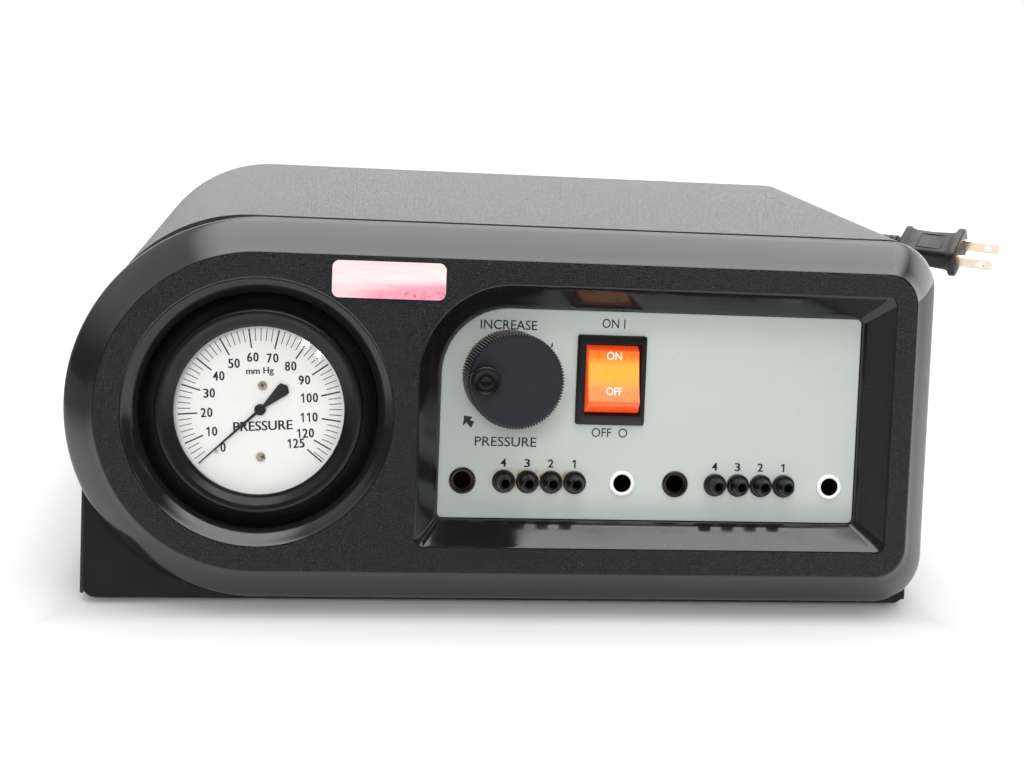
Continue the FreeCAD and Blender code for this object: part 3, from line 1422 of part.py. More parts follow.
KNOB_AXIS = Placement(on_panel(S["knob_u"], S["knob_v"], 0), PANEL.Rotation)
diaphragm_w = -S["panel_out"] - T - S["bonnet_length"] + 1
keep(
    solid(
        coil_spring(S["bonnet_radius"] - 5, S["spring_wire"], diaphragm_w + 0.15, -14.15, 4, KNOB_AXIS),
        "regulator_spring",
    )
)
pump_z = FOOT + T + S["pump_lift"] + S["pump_height"] / 2
end = S["pump_width"] / 2
springs = []
for side in (-1, 1):
    middle = Placement(Vector(S["pump_x"], S["pump_y"], pump_z), Rotation(Vector(0, 1, 0), 90 * side))
    springs.append(solid(coil_spring(10, 0.8, end - 7 + 0.15, end - 0.15, 2, middle), "compressor_spring"))
keep(group(springs, "compressor_springs"))


# --- hoses, wires and cord ----------------------------------------------------------------


def route(*points):
    return [Vector(*p) for p in points]


HOSE = S["hose_radius"]
VX, VY, VZ = S["valve_x"], S["valve_y"], S["valve_z"]
hoses = []
for k, (dx, dz) in enumerate(OUTLETS):
    u = S["port_start"] + k * S["port_pitch"]
    x, z = VX + float(dx), VZ + float(dz)
    back_w = -S["port_back"] - S["manifold_depth"]
    start = on_panel(u, 0, back_w)
    knee = on_panel(u, 0, back_w - 16)
    points = [start, knee, Vector(x, VY - 22, z), Vector(x, VY - 3, z)]
    hoses.append(solid(tube(points, 2.6, "valve hose"), "valve_hose"))
KU, KV = S["knob_u"], S["knob_v"]
barb_w = -S["panel_out"] - T - S["bonnet_length"] - 0.8 - S["regulator_length"] / 2
back_w = barb_w - S["regulator_length"] / 2
side_u = S["bonnet_radius"] + 2
pump_top = FOOT + T + S["pump_lift"] + S["pump_height"]
PX, PY = S["pump_x"], S["pump_y"]
supply_hose = [
    Vector(PX, PY, pump_top + 2),
    Vector(PX, PY - 2, pump_top + 24),
    Vector(PX - 24, PY - 13, pump_top + 35),
    Vector(PX - 54, PY - 21, pump_top + 28),
    Vector(VX + 4, VY + 2, pump_top + 11),
    on_panel(KU, KV, back_w - 24),
    on_panel(KU, KV, back_w - 4),
]
hoses.append(solid(tube(supply_hose, HOSE, "supply hose"), "supply_hose"))
start = on_panel(KU + side_u + 3, KV, barb_w)
inlet = Vector(VX + float(INLET[0]), VY, VZ + float(INLET[1]))
feed_hose = [
    start,
    start + Vector(13, 0, 0),
    start + Vector(19, 9, -9),
    start + Vector(11, 16, -18),
    inlet + Vector(0, -18, 0),
    inlet + Vector(0, -4, 0),
]
hoses.append(solid(tube(feed_hose, HOSE, "feed hose"), "feed_hose"))
stem_w = -S["gauge_depth"] - 13
left = on_panel(KU - side_u, KV, barb_w)
gauge_hose = [
    on_panel(GU, GV, stem_w),
    on_panel(GU, GV, stem_w - 22),
    Vector(GU + 12, 0.5, 57),
    Vector(GU + 30, -3.5, 65),
    left + Vector(-22, 2, 0),
    left + Vector(-3, 0, 0),
]
hoses.append(solid(tube(gauge_hose, HOSE, "gauge hose"), "gauge_hose"))
keep(group(hoses, "air_hoses"))

strip_y = "(%s - strip_behind)" % BACK_F
strip_top = floor_top + " + strip_height"
strip = [block("strip_width", "strip_depth", "strip_height", (FUSE_X, strip_y, floor_top))]
for i in range(5):
    wall_x = "%s + %d * (strip_width - 2) / 4" % (FUSE_X, i)
    strip.append(block("2", "strip_depth", "5", (wall_x, strip_y, strip_top)))
keep(fuse(strip, "terminal_block"))
keep(
    fuse(
        [
            cyl("6", "24", (FUSE_X, BACK_F + " - 24", gland_level), "y"),
            cyl("8", "3", (FUSE_X, BACK_F, gland_level), "y"),
        ],
        "fuse_holder",
    )
)
GX, GZ = S["gland_x"], FOOT + S["gland_z"]
low = FOOT + T
# Wires start at the terminals: near and far are the front and back of the block, from the world's middle.
LIVE, NEUTRAL = GX - S["fuse_offset"] + 34, GX - S["fuse_offset"] + 25
NEAR = BACK - S["strip_behind"] + 1
FAR = NEAR + S["strip_depth"] - 2
SWITCH_TAB = on_panel(S["switch_u"] + 3, S["switch_v"] - 5, -S["switch_depth"] - 7.5)
MOTOR_END = VY + 53.7
switch_live = route(
    (LIVE, NEAR, low + 9),
    (LIVE + 2, NEAR - 11.5, low + 7),
    (VX + 4, VY - 27, low + 3),
    (SWITCH_TAB.x - 3, SWITCH_TAB.y + 6, low + 6),
    (SWITCH_TAB.x + 1, SWITCH_TAB.y + 4, SWITCH_TAB.z - 20),
    (SWITCH_TAB.x, SWITCH_TAB.y, SWITCH_TAB.z),
)
switch_neutral = route(
    (NEUTRAL, NEAR, low + 9),
    (NEUTRAL + 3, NEAR - 15.5, low + 7),
    (VX, VY - 35, low + 3),
    (SWITCH_TAB.x - 9, SWITCH_TAB.y + 3, low + 6),
    (SWITCH_TAB.x - 6, SWITCH_TAB.y + 2, SWITCH_TAB.z - 20),
    (SWITCH_TAB.x - 8, SWITCH_TAB.y - 0.5, SWITCH_TAB.z),
)
motor_wire = route(
    (LIVE, FAR, low + 9),
    (LIVE + 4, FAR + 8.5, low + 20),
    (LIVE + 12, MOTOR_END + 2.8, low + 29),
    (LIVE + 22, MOTOR_END + 5.8, low + 35),
    (LIVE + 28, MOTOR_END, low + 38),
)
PUMP_BACK = PY + S["pump_depth"] / 2
pump_wire = route(
    (NEUTRAL, FAR, low + 7),
    (NEUTRAL + 3, FAR + 12.5, low + 4),
    (NEUTRAL + 29, PUMP_BACK + 6.5, low + 2.5),
    (PX - 52, PUMP_BACK + 10.5, low + 4),
    (PX - 26, PUMP_BACK + 8.5, low + 13),
    (PX - 22, PUMP_BACK - 0.3, low + 20),
)
wires = [switch_live, switch_neutral, motor_wire, pump_wire]
tail = route(
    (GX, BACK - T - 2, GZ),
    (GX - 3, BACK - 12, GZ - 1),
    (GX - 22, BACK - 18, GZ - 4),
    (GX - 50, BACK - 17, low + 16),
    (GX - 72, BACK - 18, low + 14),
    (GX - 83, BACK - 27, low + 10),
    (GX - 84, FAR + 0.5, low + 7),
)
strands = [solid(tube(points, 1.0, "wire"), "wire") for points in wires]
keep(group(strands + [solid(tube(tail, 3.0, "inner cord"), "wire")], "mains_wires"))

relief = [
    cyl("gland_radius", "2", ("gland_x", BACK_F + " - sheet_thick - 2", gland_level), "y"),
    cyl("gland_radius - 1.7", "sheet_thick", ("gland_x", BACK_F + " - sheet_thick", gland_level), "y"),
    cyl("gland_radius", "2.2", ("gland_x", BACK_F, gland_level), "y"),
    cone("cord_radius + 2", "cord_radius + 0.7", "gland_reach", ("gland_x", BACK_F, gland_level), "y"),
]
keep(fuse(relief, "cord_strain_relief"))

# The cord as it is put away: out of the gland, along the floor and up into an upright coil behind
# the case; its last stretch leaves the top of the coil and holds the plug out to the right.
CORD = S["cord_radius"]
EXIT = Vector(GX, BACK + S["gland_reach"], GZ)
COIL = Vector(EXIT.x + 135, EXIT.y + 46.8, S["coil_mid"] + S["coil_rows"] / 2)
lead = route(
    (EXIT.x, EXIT.y, EXIT.z),
    (EXIT.x + 1, EXIT.y + 16.8, 19.2),
    (EXIT.x + 7, EXIT.y + 34.8, 10.8),
    (EXIT.x + 20, EXIT.y + 50.8, 5.6),
    (EXIT.x + 38, EXIT.y + 61.3, 3.9),
    (EXIT.x + 58, EXIT.y + 66.1, 3.7),
    (EXIT.x + 75, EXIT.y + 67.0, 3.7),
    (EXIT.x + 89.7, EXIT.y + 67.0, 12.2),
    (EXIT.x + 98.2, EXIT.y + 66.8, 26.9),
    (EXIT.x + 97.8, EXIT.y + 62.8, 43.0),
)
ring = cyl("coil_mid + coil_rows / 2", "coil_width", ("0", "0", "0"), "y")
ring_hole = cyl("coil_mid - coil_rows / 2", "coil_width + 2", ("0", "-1", "0"), "y")
coil = cut(ring, ring_hole, "cord_coil")
coil.Placement = Placement(COIL - Vector(0, S["coil_width"] / 2, 0), Rotation())
keep(coil)
coil_in = "coil_mid - coil_rows / 2"
tie = cut(
    block("coil_rows + 3", "coil_width + 3", "4", (coil_in + " - 1.5", "-coil_width / 2 - 1.5", "-2")),
    block("coil_rows + 0.2", "coil_width + 0.2", "8", (coil_in + " - 0.1", "-coil_width / 2 - 0.1", "-4")),
    "cord_tie",
)
tie.Placement = Placement(COIL, Rotation())
keep(tie)

# Plug: its own Z points to the tips of the blades, its X across the pair of blades.
PLUG_AXIS = Vector(0.756, -0.655, 0.027)
PLUG_SIDE = Vector(-0.535, -0.64, -0.55)
PLUG_FACE = Vector(EXIT.x + 221.5, EXIT.y + 8.3, 98.0)
PLUG = Placement(PLUG_FACE, Rotation(PLUG_SIDE, Vector(), PLUG_AXIS, "ZXY"))
plug_end = 60.0
end_run = [
    COIL + Vector(0, 12, S["coil_mid"] + S["coil_rows"] / 4),
    Vector(EXIT.x + 151, EXIT.y + 59.1, 93.9),
    Vector(EXIT.x + 165, EXIT.y + 55.5, 95.3),
    PLUG.multVec(Vector(0, 0, -plug_end)),
]
runs = [solid(tube(lead, CORD, "power cord"), "run"), solid(tube(end_run, CORD, "cord end"), "run")]
keep(group(runs, "power_cord"))


def slab(width, depth, height, low):
    return block(width, depth, height, ("-(%s) / 2" % width, "-(%s) / 2" % depth, low))


plug_parts = [
    slab("24.5", "15", "3.4", "-3.4"),
    slab("19", "11.5", "26", "-27"),
    slab("21", "13.5", "3", "-29.6"),
    cone("cord_radius + 1.2", "6.5", "10", ("0", "0", "-38")),
    cone("cord_radius + 0.6", "cord_radius + 1.8", "24", ("0", "0", "-60")),
]
plug = fuse(plug_parts, "plug_body")
plug.Placement = PLUG
keep(plug)
blades = []
for side in (-1, 1):
    blade = block(
        "blade_thick",
        "blade_width",
        "blade_length",
        ("%d * blade_pitch / 2 - blade_thick / 2" % side, "-blade_width / 2", "0"),
    )
    hole = cyl("1.6", "6", ("%d * blade_pitch / 2 - 3" % side, "0", "11.9"), "x")
    blades.append(cut(blade, hole))
pair = group(blades, "plug_blades")
pair.Placement = PLUG
keep(pair)

# --- check and write ----------------------------------------------------------------------
doc.recompute()
for obj in doc.Objects:
    if "Invalid" in obj.State or "Error" in obj.State:
        raise ValueError("%s (%s): %s" % (obj.Name, obj.Label, obj.State))
os.makedirs("parts", exist_ok=True)
for obj in NODES:
    shape = obj.Shape
    if shape.isNull() or not shape.isValid() or not shape.Solids:
        raise ValueError("%s has no valid solid" % obj.Label)
    shape.exportStep("parts/%s.step" % obj.Label)
    box = shape.BoundBox
    reach = (box.XMin, box.YMin, box.ZMin, box.XMax, box.YMax, box.ZMax)
    print("%-24s %2d solids %10.1f mm3" % (obj.Label, len(shape.Solids), shape.Volume), end="")
    print("  %7.1f %7.1f %7.1f .. %7.1f %7.1f %7.1f" % reach)
print(len(NODES), "pieces")
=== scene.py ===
"""Looks of a bench-top compression therapy pump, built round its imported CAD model.

Pieces are drawn in millimetres in one of a few local frames and placed in the row frame in metres.
"""

import math

import bmesh
import bpy
from mathutils import Euler, Matrix, Vector


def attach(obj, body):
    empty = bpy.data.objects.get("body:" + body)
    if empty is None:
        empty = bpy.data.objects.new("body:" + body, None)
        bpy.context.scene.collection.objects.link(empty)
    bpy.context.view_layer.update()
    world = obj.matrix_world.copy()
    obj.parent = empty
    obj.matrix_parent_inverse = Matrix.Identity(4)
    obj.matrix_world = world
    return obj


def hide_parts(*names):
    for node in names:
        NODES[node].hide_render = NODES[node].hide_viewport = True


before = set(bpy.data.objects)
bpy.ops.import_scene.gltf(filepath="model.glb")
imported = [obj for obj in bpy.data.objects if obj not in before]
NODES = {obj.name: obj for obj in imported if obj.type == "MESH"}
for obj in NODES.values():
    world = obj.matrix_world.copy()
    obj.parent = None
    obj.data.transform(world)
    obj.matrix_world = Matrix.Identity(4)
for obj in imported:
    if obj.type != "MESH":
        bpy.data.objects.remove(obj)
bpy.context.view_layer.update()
CASE = "pump"
MM = 0.001

# --- frames ---
# The front panel leans back: u runs right, v up the slope, w out of it, from the row of hose ports.
RAKE = math.radians(10.8)
UP_SLOPE = Vector((0, math.sin(RAKE), math.cos(RAKE)))
OUTWARD = Vector((0, -math.cos(RAKE), math.sin(RAKE)))
BOTTOM_EDGE = Vector((0, -77.2, 2.5))
PANEL_UP = 43.0
PANEL_OUT = 4.0
PANEL_ORIGIN = BOTTOM_EDGE + UP_SLOPE * PANEL_UP + OUTWARD * PANEL_OUT
WORLD_MM = Matrix.Scale(MM, 4)


def axes(x, y, z, origin):
    """Frame in millimetres with these axes and this origin, as a matrix to metres."""
    turn = Matrix((x, y, z)).transposed().to_4x4()
    return WORLD_MM @ Matrix.Translation(origin) @ turn


PANEL = axes(Vector((1, 0, 0)), UP_SLOPE, OUTWARD, PANEL_ORIGIN)


def on_panel(u, v, w=0.0):
    """The panel's frame moved to u, v, w."""
    return PANEL @ Matrix.Translation((u, v, w))


# --- sizes, as in the CAD ---
BEZEL_LEFT, BEZEL_RIGHT, BEZEL_BOTTOM, BEZEL_TOP = 153.3, 150.8, 42.0, 88.4
BEZEL_CORNER = 17.0
RIM_DEPTH = 2.1
FACE_HEIGHT = 10.7
CHAMFER_WIDTH = 12.0
FACE_CORNER = 11.0
PLATE_LEFT, PLATE_RIGHT, PLATE_BOTTOM, PLATE_TOP = 26.2, 123.1, 13.0, 60.2
PLATE_ROUND, PLATE_CORNER, PLATE_GAP, PLATE_THICK = 23.3, 1.8, 0.3, 1.6
RECESS_SLOPE, RECESS_CORNER, RECESS_STEP = 8.0, 3.0, 1.7
GAUGE_U, GAUGE_V = -87.6, 23.2
COVE_RADIUS, COVE_SLOPE, COVE_DROP = 44.9, 4.9, 5.7
PORT_START, PORT_PITCH, GROUP_PITCH = -3.4, 8.34, 75.45
KNOB_U, KNOB_V, KNOB_RADIUS, KNOB_RISE, KNOB_HEIGHT = -3.6, 37.2, 15.9, 3.6, 22.4
SPINNER_OFFSET, SPINNER_RADIUS, SPINNER_HEIGHT = 10.5, 5.0, 4.6
SWITCH_U, SWITCH_V = 32.85, 36.7
CORD_RADIUS = 3.5

# --- mesh helpers ---


def arc(cx, cy, radius, start, end, steps):
    """Points of a round stretch, angles in degrees, both ends included."""
    points = []
    for i in range(steps + 1):
        angle = math.radians(start + (end - start) * i / steps)
        points.append((cx + radius * math.cos(angle), cy + radius * math.sin(angle)))
    return points


def rounded_loop(left, right, bottom, top, radii, steps=(12, 12, 12, 12)):
    """Rectangle with rounded corners. Points, radii and steps run anticlockwise from the bottom left."""
    bl, br, tr, tl = radii
    points = arc(left + bl, bottom + bl, bl, 180, 270, steps[0])
    points += arc(right - br, bottom + br, br, 270, 360, steps[1])
    points += arc(right - tr, top - tr, tr, 0, 90, steps[2])
    points += arc(left + tl, top - tl, tl, 90, 180, steps[3])
    return points


def circle(radius, steps, at=(0, 0)):
    """Closed circle of this many points, with no point twice."""
    return arc(at[0], at[1], radius, 0, 360 - 360 / steps, steps - 1)


def rounded_box(width, height, corner, steps, x=0.0, y=0.0):
    """Rectangle round x, y with four equal corners."""
    left, bottom = x - width / 2, y - height / 2
    return rounded_loop(left, left + width, bottom, bottom + height, (corner,) * 4, (steps,) * 4)


def ring_of(bm, loop, height):
    return [bm.verts.new((x, y, height)) for x, y in loop]


def bridge(bm, low, high, slot=0):
    """Faces between two rings with as many points each."""
    for i in range(len(low)):
        j = (i + 1) % len(low)
        bm.faces.new((low[i], low[j], high[j], high[i])).material_index = slot


def skin(bm, rings, slot=0):
    for low, high in zip(rings, rings[1:]):
        bridge(bm, low, high, slot)


def cap(bm, ring):
    bm.faces.new(ring)


def lathe(bm, profile, steps=64, at=(0, 0), slot=0):
    """Turns a profile of (radius, height) round the frame's third axis. A radius of 0 closes it."""
    rings = []
    for radius, height in profile:
        if radius == 0:
            rings.append([bm.verts.new((at[0], at[1], height))])
        else:
            rings.append(ring_of(bm, circle(radius, steps, at), height))
    for low, high in zip(rings, rings[1:]):
        if len(low) == 1 and len(high) == 1:
            continue
        for i in range(steps):
            j = (i + 1) % steps
            if len(low) == 1:
                corners = (low[0], high[j], high[i])
            elif len(high) == 1:
                corners = (low[i], low[j], high[0])
            else:
                corners = (low[i], low[j], high[j], high[i])
            bm.faces.new(corners).material_index = slot
    return rings


def round_corner(profile, radius, steps):
    """Profile with each inner point turned into a bend of about this radius."""
    made = [profile[0]]
    for before, corner, after in zip(profile, profile[1:], profile[2:]):
        a, b, c = Vector(before), Vector(corner), Vector(after)
        back = min(radius, (b - a).length * 0.45, (c - b).length * 0.45)
        start, end = b + (a - b).normalized() * back, b + (c - b).normalized() * back
        for i in range(steps + 1):
            t = i / steps
            made.append(tuple(start * (1 - t) ** 2 + b * 2 * t * (1 - t) + end * t * t))
    made.append(profile[-1])
    return made


def link(name, data):
    """Object in the scene with this mesh, curve, lamp, letters or camera."""
    made = bpy.data.objects.new(name, data)
    bpy.context.scene.collection.objects.link(made)
    return made


def piece(name, bm, space, materials, *, body=CASE, replaces=(), sharp=35, own_axes=False):
    """Object from a mesh drawn in space, riding on a CAD body. With own_axes its axes are the space's."""
    bmesh.ops.recalc_face_normals(bm, faces=bm.faces)
    mesh = bpy.data.meshes.new(name)
    bm.transform(WORLD_MM if own_axes else space)
    bm.to_mesh(mesh)
    bm.free()
    mesh.shade_smooth()
    mesh.set_sharp_from_angle(angle=math.radians(sharp))
    for material in materials:
        mesh.materials.append(material)
    made = link(name, mesh)
    if own_axes:
        made.matrix_world = space @ WORLD_MM.inverted()
    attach(made, body)
    if replaces:
        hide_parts(*replaces)
    return made


# --- camera ---
CAMERA_PLACE = Vector((-62.26, -498.2, 203.91))
CAMERA_TURN = (76.129, -3.217, -5.750)
LENS_MM = 45.90
SENSOR_MM = 36.0
SHIFT = (0.02828, -0.05150)


def make_camera():
    data = bpy.data.cameras.new("view")
    data.sensor_width = SENSOR_MM
    data.lens = LENS_MM
    data.shift_x, data.shift_y = SHIFT
    data.clip_start, data.clip_end = 0.01, 50.0
    camera = link("view", data)
    camera.location = CAMERA_PLACE * MM
    camera.rotation_euler = Euler([math.radians(a) for a in CAMERA_TURN])
    bpy.context.scene.camera = camera


make_camera()

# --- materials ---


def add_node(tree, kind, inputs, **settings):
    """Shader node with these settings. Each input takes a value or another node's output; None leaves it."""
    node = tree.nodes.new("ShaderNode" + kind)
    for name, value in settings.items():
        setattr(node, name, value)
    for key, value in inputs.items():
        if isinstance(value, bpy.types.NodeSocket):
            tree.links.new(value, node.inputs[key])
        elif value is not None:
            node.inputs[key].default_value = value
    return node


def mapped(tree, value, low, high, low_to, high_to, smooth=True):
    """Value taken from low..high to low_to..high_to, and held at its ends."""
    inputs = {0: value, 1: low, 2: high, 3: low_to, 4: high_to}
    curve = "SMOOTHSTEP" if smooth else "LINEAR"
    return add_node(tree, "MapRange", inputs, interpolation_type=curve).outputs[0]


class Finish:
    """A material and its node tree, with short calls for the patterns that the finishes share."""

    def __init__(self, name, colour, roughness, **sockets):
        self.material = bpy.data.materials.new(name)
        self.material.use_nodes = True
        self.tree = self.material.node_tree
        self.shader = self.tree.nodes["Principled BSDF"]
        self.shader.inputs["Base Color"].default_value = (*colour, 1)
        self.shader.inputs["Roughness"].default_value = roughness
        for socket, value in sockets.items():
            self.shader.inputs[socket.replace("_", " ")].default_value = value
        self.place = self.source("TexCoord", "Object")
        self.relief = None

    def source(self, kind, output):
        """Output of a node that has no inputs."""
        return add_node(self.tree, kind, {}).outputs[output]

    def set(self, socket, value):
        self.tree.links.new(value, self.shader.inputs[socket])

    def axis(self, index):
        """The piece's own x, y or z."""
        return add_node(self.tree, "SeparateXYZ", {0: self.place}).outputs[index]

    def stretched(self, scale):
        """The piece's own coordinates, scaled along each axis."""
        return add_node(self.tree, "Mapping", {"Vector": self.place, "Scale": scale}).outputs["Vector"]

    def warped(self, scale, amount):
        """The piece's coordinates, pushed about by a noise."""
        noise = add_node(self.tree, "TexNoise", {"Vector": self.place, "Scale": scale}).outputs["Color"]
        inputs = {0: noise, 1: (amount,) * 3, 2: self.place}
        return add_node(self.tree, "VectorMath", inputs, operation="MULTIPLY_ADD").outputs["Vector"]

    def noise(self, scale, detail=3.0, roughness=0.5, distortion=0.0, vector=None):
        inputs = {"Vector": vector or self.place, "Scale": scale, "Detail": detail}
        inputs.update({"Roughness": roughness, "Distortion": distortion})
        return add_node(self.tree, "TexNoise", inputs).outputs["Fac"]

    def cells(self, scale, feature="F1", vector=None):
        inputs = {"Vector": vector or self.place, "Scale": scale}
        return add_node(self.tree, "TexVoronoi", inputs, feature=feature).outputs["Distance"]

    def ramp(self, value, low, high, low_to=0.0, high_to=1.0, smooth=True):
        return mapped(self.tree, value, low, high, low_to, high_to, smooth)

    def math(self, operation, a, b=None):
        return add_node(self.tree, "Math", {0: a, 1: b}, operation=operation).outputs[0]

    def blend(self, share, a, b):
        """Colour between a and b, each a colour or the result of another blend."""
        a, b = [(*value, 1) if isinstance(value, tuple) else value for value in (a, b)]
        return add_node(self.tree, "Mix", {0: share, 6: a, 7: b}, data_type="RGBA").outputs[2]

    def bump(self, height, distance, strength=1.0):
        """Adds relief of this depth, in metres, over what is there."""
        inputs = {"Distance": distance, "Strength": strength, "Height": height, "Normal": self.relief}
        self.relief = add_node(self.tree, "Bump", inputs).outputs["Normal"]
        self.set("Normal", self.relief)


def dusted(finish, colour, dust, scale):
    """Colour with small specks of dust in patches."""
    specks = finish.ramp(finish.cells(scale), 0.07, 0.04)
    patches = finish.ramp(finish.noise(14.0, 4.0), 0.45, 0.75)
    finish.set("Base Color", finish.blend(finish.math("MULTIPLY", specks, patches), colour, dust))


def gloss_abs():
    """Polished black border of the bezel, with faint moulding waves, specks and hair scratches."""
    finish = Finish("gloss_black_abs", (0.010, 0.010, 0.011), 0.12, IOR=1.55)
    dusted(finish, (0.009, 0.009, 0.010), (0.30, 0.27, 0.22), 420.0)
    smear = finish.noise(60.0, 6.0, 0.7)
    finish.set("Roughness", finish.ramp(smear, 0.35, 0.75, 0.08, 0.2))
    finish.bump(finish.noise(25.0, 1.0), 0.0004, 0.12)
    return finish.material


def leather_abs(name, colour, scale, depth, rough):
    """Moulded leather grain: soft pebbles between creases, with painted shade darkening the creases, painted
    highlight lightening the pebble tops, and dust in patches.
    """
    finish = Finish(name, colour, 0.45)
    bent = finish.warped(scale * 0.4, 0.0005)
    pebbles = finish.ramp(finish.cells(scale, "DISTANCE_TO_EDGE", bent), 0.0, 0.35)
    fine = finish.noise(scale * 1.3, 4.0, 0.6)
    finish.set("Roughness", finish.ramp(fine, 0.3, 0.7, *rough))
    # Painted shade and highlight: the creases are darker and the pebble tops lighter than the grain's own
    # colour.
    top = tuple(c * 2.0 for c in colour)
    painted_crease_shade = tuple(c * 0.4 for c in colour)
    tone = finish.blend(finish.math("MULTIPLY", pebbles, finish.ramp(fine, 0.3, 0.75)), painted_crease_shade, top)
    specks = finish.ramp(finish.cells(650.0), 0.10, 0.06)
    patches = finish.ramp(finish.noise(16.0, 4.0), 0.48, 0.72)
    dust = finish.math("MULTIPLY", specks, patches)
    finish.set("Base Color", finish.blend(dust, tone, (0.28, 0.27, 0.25)))
    finish.bump(fine, depth * 0.5, 0.5)
    finish.bump(pebbles, depth, 0.9)
    return finish.material


def satin_black(name, colour, rough, ior=1.5, grain=1800.0, depth=0.00003):
    """Plain black moulding or paint: fine orange peel, specks and uneven sheen."""
    finish = Finish(name, colour, rough, IOR=ior)
    dusted(finish, colour, (0.10, 0.10, 0.10), 600.0)
    finish.set("Roughness", finish.ramp(finish.noise(90.0, 4.0), 0.3, 0.7, rough - 0.07, rough + 0.1))
    finish.bump(finish.noise(grain, 2.0), depth, 0.6)
    return finish.material


def worn_crests():
    """Crests of the knurling, painted pale as a highlight along the ridges and as wear, holding warm grime in
    patches.
    """
    finish = Finish("knurl_crests", (0.09, 0.078, 0.06), 0.55)
    patches = finish.ramp(finish.noise(90.0, 4.0), 0.35, 0.65)
    # Painted highlight: the crests are paler than the knob, for the light they catch, with warm grime in
    # patches.
    finish.set("Base Color", finish.blend(patches, (0.045, 0.040, 0.034), (0.16, 0.135, 0.10)))
    finish.bump(finish.noise(2500.0, 3.0), 0.00008, 0.7)
    return finish.material


def metal(name, colour, rough=0.3, brushed=(1, 1, 1), tarnish=None):
    """Bare metal with drawn or turned lines and a little tarnish."""
    finish = Finish(name, colour, rough, Metallic=1.0)
    lines = finish.noise(900.0, 4.0, 0.7, vector=finish.stretched(brushed))
    finish.set("Roughness", finish.ramp(lines, 0.25, 0.75, rough - 0.1, rough + 0.12))
    dull = tarnish or tuple(c * 0.6 for c in colour)
    finish.set("Base Color", finish.blend(finish.ramp(finish.noise(110.0, 5.0), 0.45, 0.8), colour, dull))
    finish.bump(lines, 0.00001, 0.5)
    return finish.material


def plastic(name, colour, rough, second=None):
    """Moulded or cast natural-coloured material with slight mottling."""
    finish = Finish(name, colour, rough)
    other = second or tuple(c * 0.82 for c in colour)
    finish.set("Base Color", finish.blend(finish.ramp(finish.noise(45.0, 5.0), 0.35, 0.75), colour, other))
    finish.set("Roughness", finish.ramp(finish.noise(260.0, 3.0), 0.3, 0.7, rough - 0.06, rough + 0.08))
    finish.bump(finish.noise(1500.0, 2.0), 0.00002, 0.5)
    return finish.material


# Height over the floor of the row of ports, in metres, for the grime round it.
PORT_ROW_HEIGHT = 0.0462


def panel_paint():
    """Pale grey-green film: satin, with painted shade darkening its left, bottom and top edges where the
    recess walls shade it, and the odd speck.
    """
    finish = Finish("panel_grey", (0.50, 0.53, 0.51), 0.32)
    clean, aged = (0.50, 0.528, 0.508), (0.47, 0.50, 0.478)
    tone = finish.blend(finish.ramp(finish.noise(9.0, 3.0), 0.35, 0.7), clean, aged)
    across, height = finish.axis(0), finish.axis(2)
    # Painted shade: the left, bottom and top edges blend towards a dimmer grey, where the recess walls shade
    # the plate.
    left = finish.ramp(across, 0.012, -0.026, 0.0, 0.8)
    bottom = finish.ramp(height, 0.043, 0.034, 0.0, 0.8)
    top = finish.ramp(height, 0.092, 0.104, 0.0, 0.35)
    edges = finish.math("ADD", finish.math("ADD", left, bottom), top)
    tone = finish.blend(edges, tone, (0.34, 0.37, 0.355))
    specks = finish.ramp(finish.cells(260.0), 0.05, 0.03)
    # Gold-brown grime between the ports of the left group.
    row = finish.math("ABSOLUTE", finish.math("SUBTRACT", height, PORT_ROW_HEIGHT))
    near = finish.math("MULTIPLY", finish.ramp(row, 0.0042, 0.0012), finish.ramp(across, 0.0245, 0.0205))
    near = finish.math("MULTIPLY", near, finish.ramp(across, -0.0075, -0.004))
    grime = finish.math("MULTIPLY", near, finish.ramp(finish.noise(520.0, 4.0), 0.38, 0.6))
    tone = finish.blend(grime, tone, (0.30, 0.18, 0.055))
    finish.set("Base Color", finish.blend(specks, tone, (0.25, 0.22, 0.16)))
    finish.set("Roughness", finish.ramp(finish.noise(130.0, 4.0), 0.3, 0.7, 0.31, 0.35))
    finish.bump(finish.noise(1400.0, 2.0), 0.000015, 0.5)
    return finish.material


def sticker_paper():
    """White label stained pink along its length, red where the stain gathered low and right."""
    finish = Finish("stained_label", (0.88, 0.68, 0.70), 0.55)
    streaks = finish.noise(55.0, 6.0, 0.65, 0.3, finish.stretched((0.25, 1.6, 1.6)))
    blots = finish.noise(420.0, 5.0, 0.75)
    low = finish.ramp(finish.axis(2), 0.1165, 0.1075)
    right = finish.ramp(finish.axis(0), -0.062, -0.030, 0.25, 1.0)
    gather = finish.math("MULTIPLY", low, right)
    stain = finish.math("ADD", finish.math("MULTIPLY", finish.ramp(streaks, 0.3, 0.75), 0.45), gather)
    pale = finish.blend(finish.ramp(stain, 0.05, 0.75), (0.88, 0.68, 0.68), (0.80, 0.30, 0.38))
    red = finish.math("MULTIPLY", finish.ramp(blots, 0.5, 0.68), finish.ramp(stain, 0.55, 1.1))
    finish.set("Base Color", finish.blend(red, pale, (0.58, 0.06, 0.13)))
    finish.bump(blots, 0.00003, 0.4)
    return finish.material


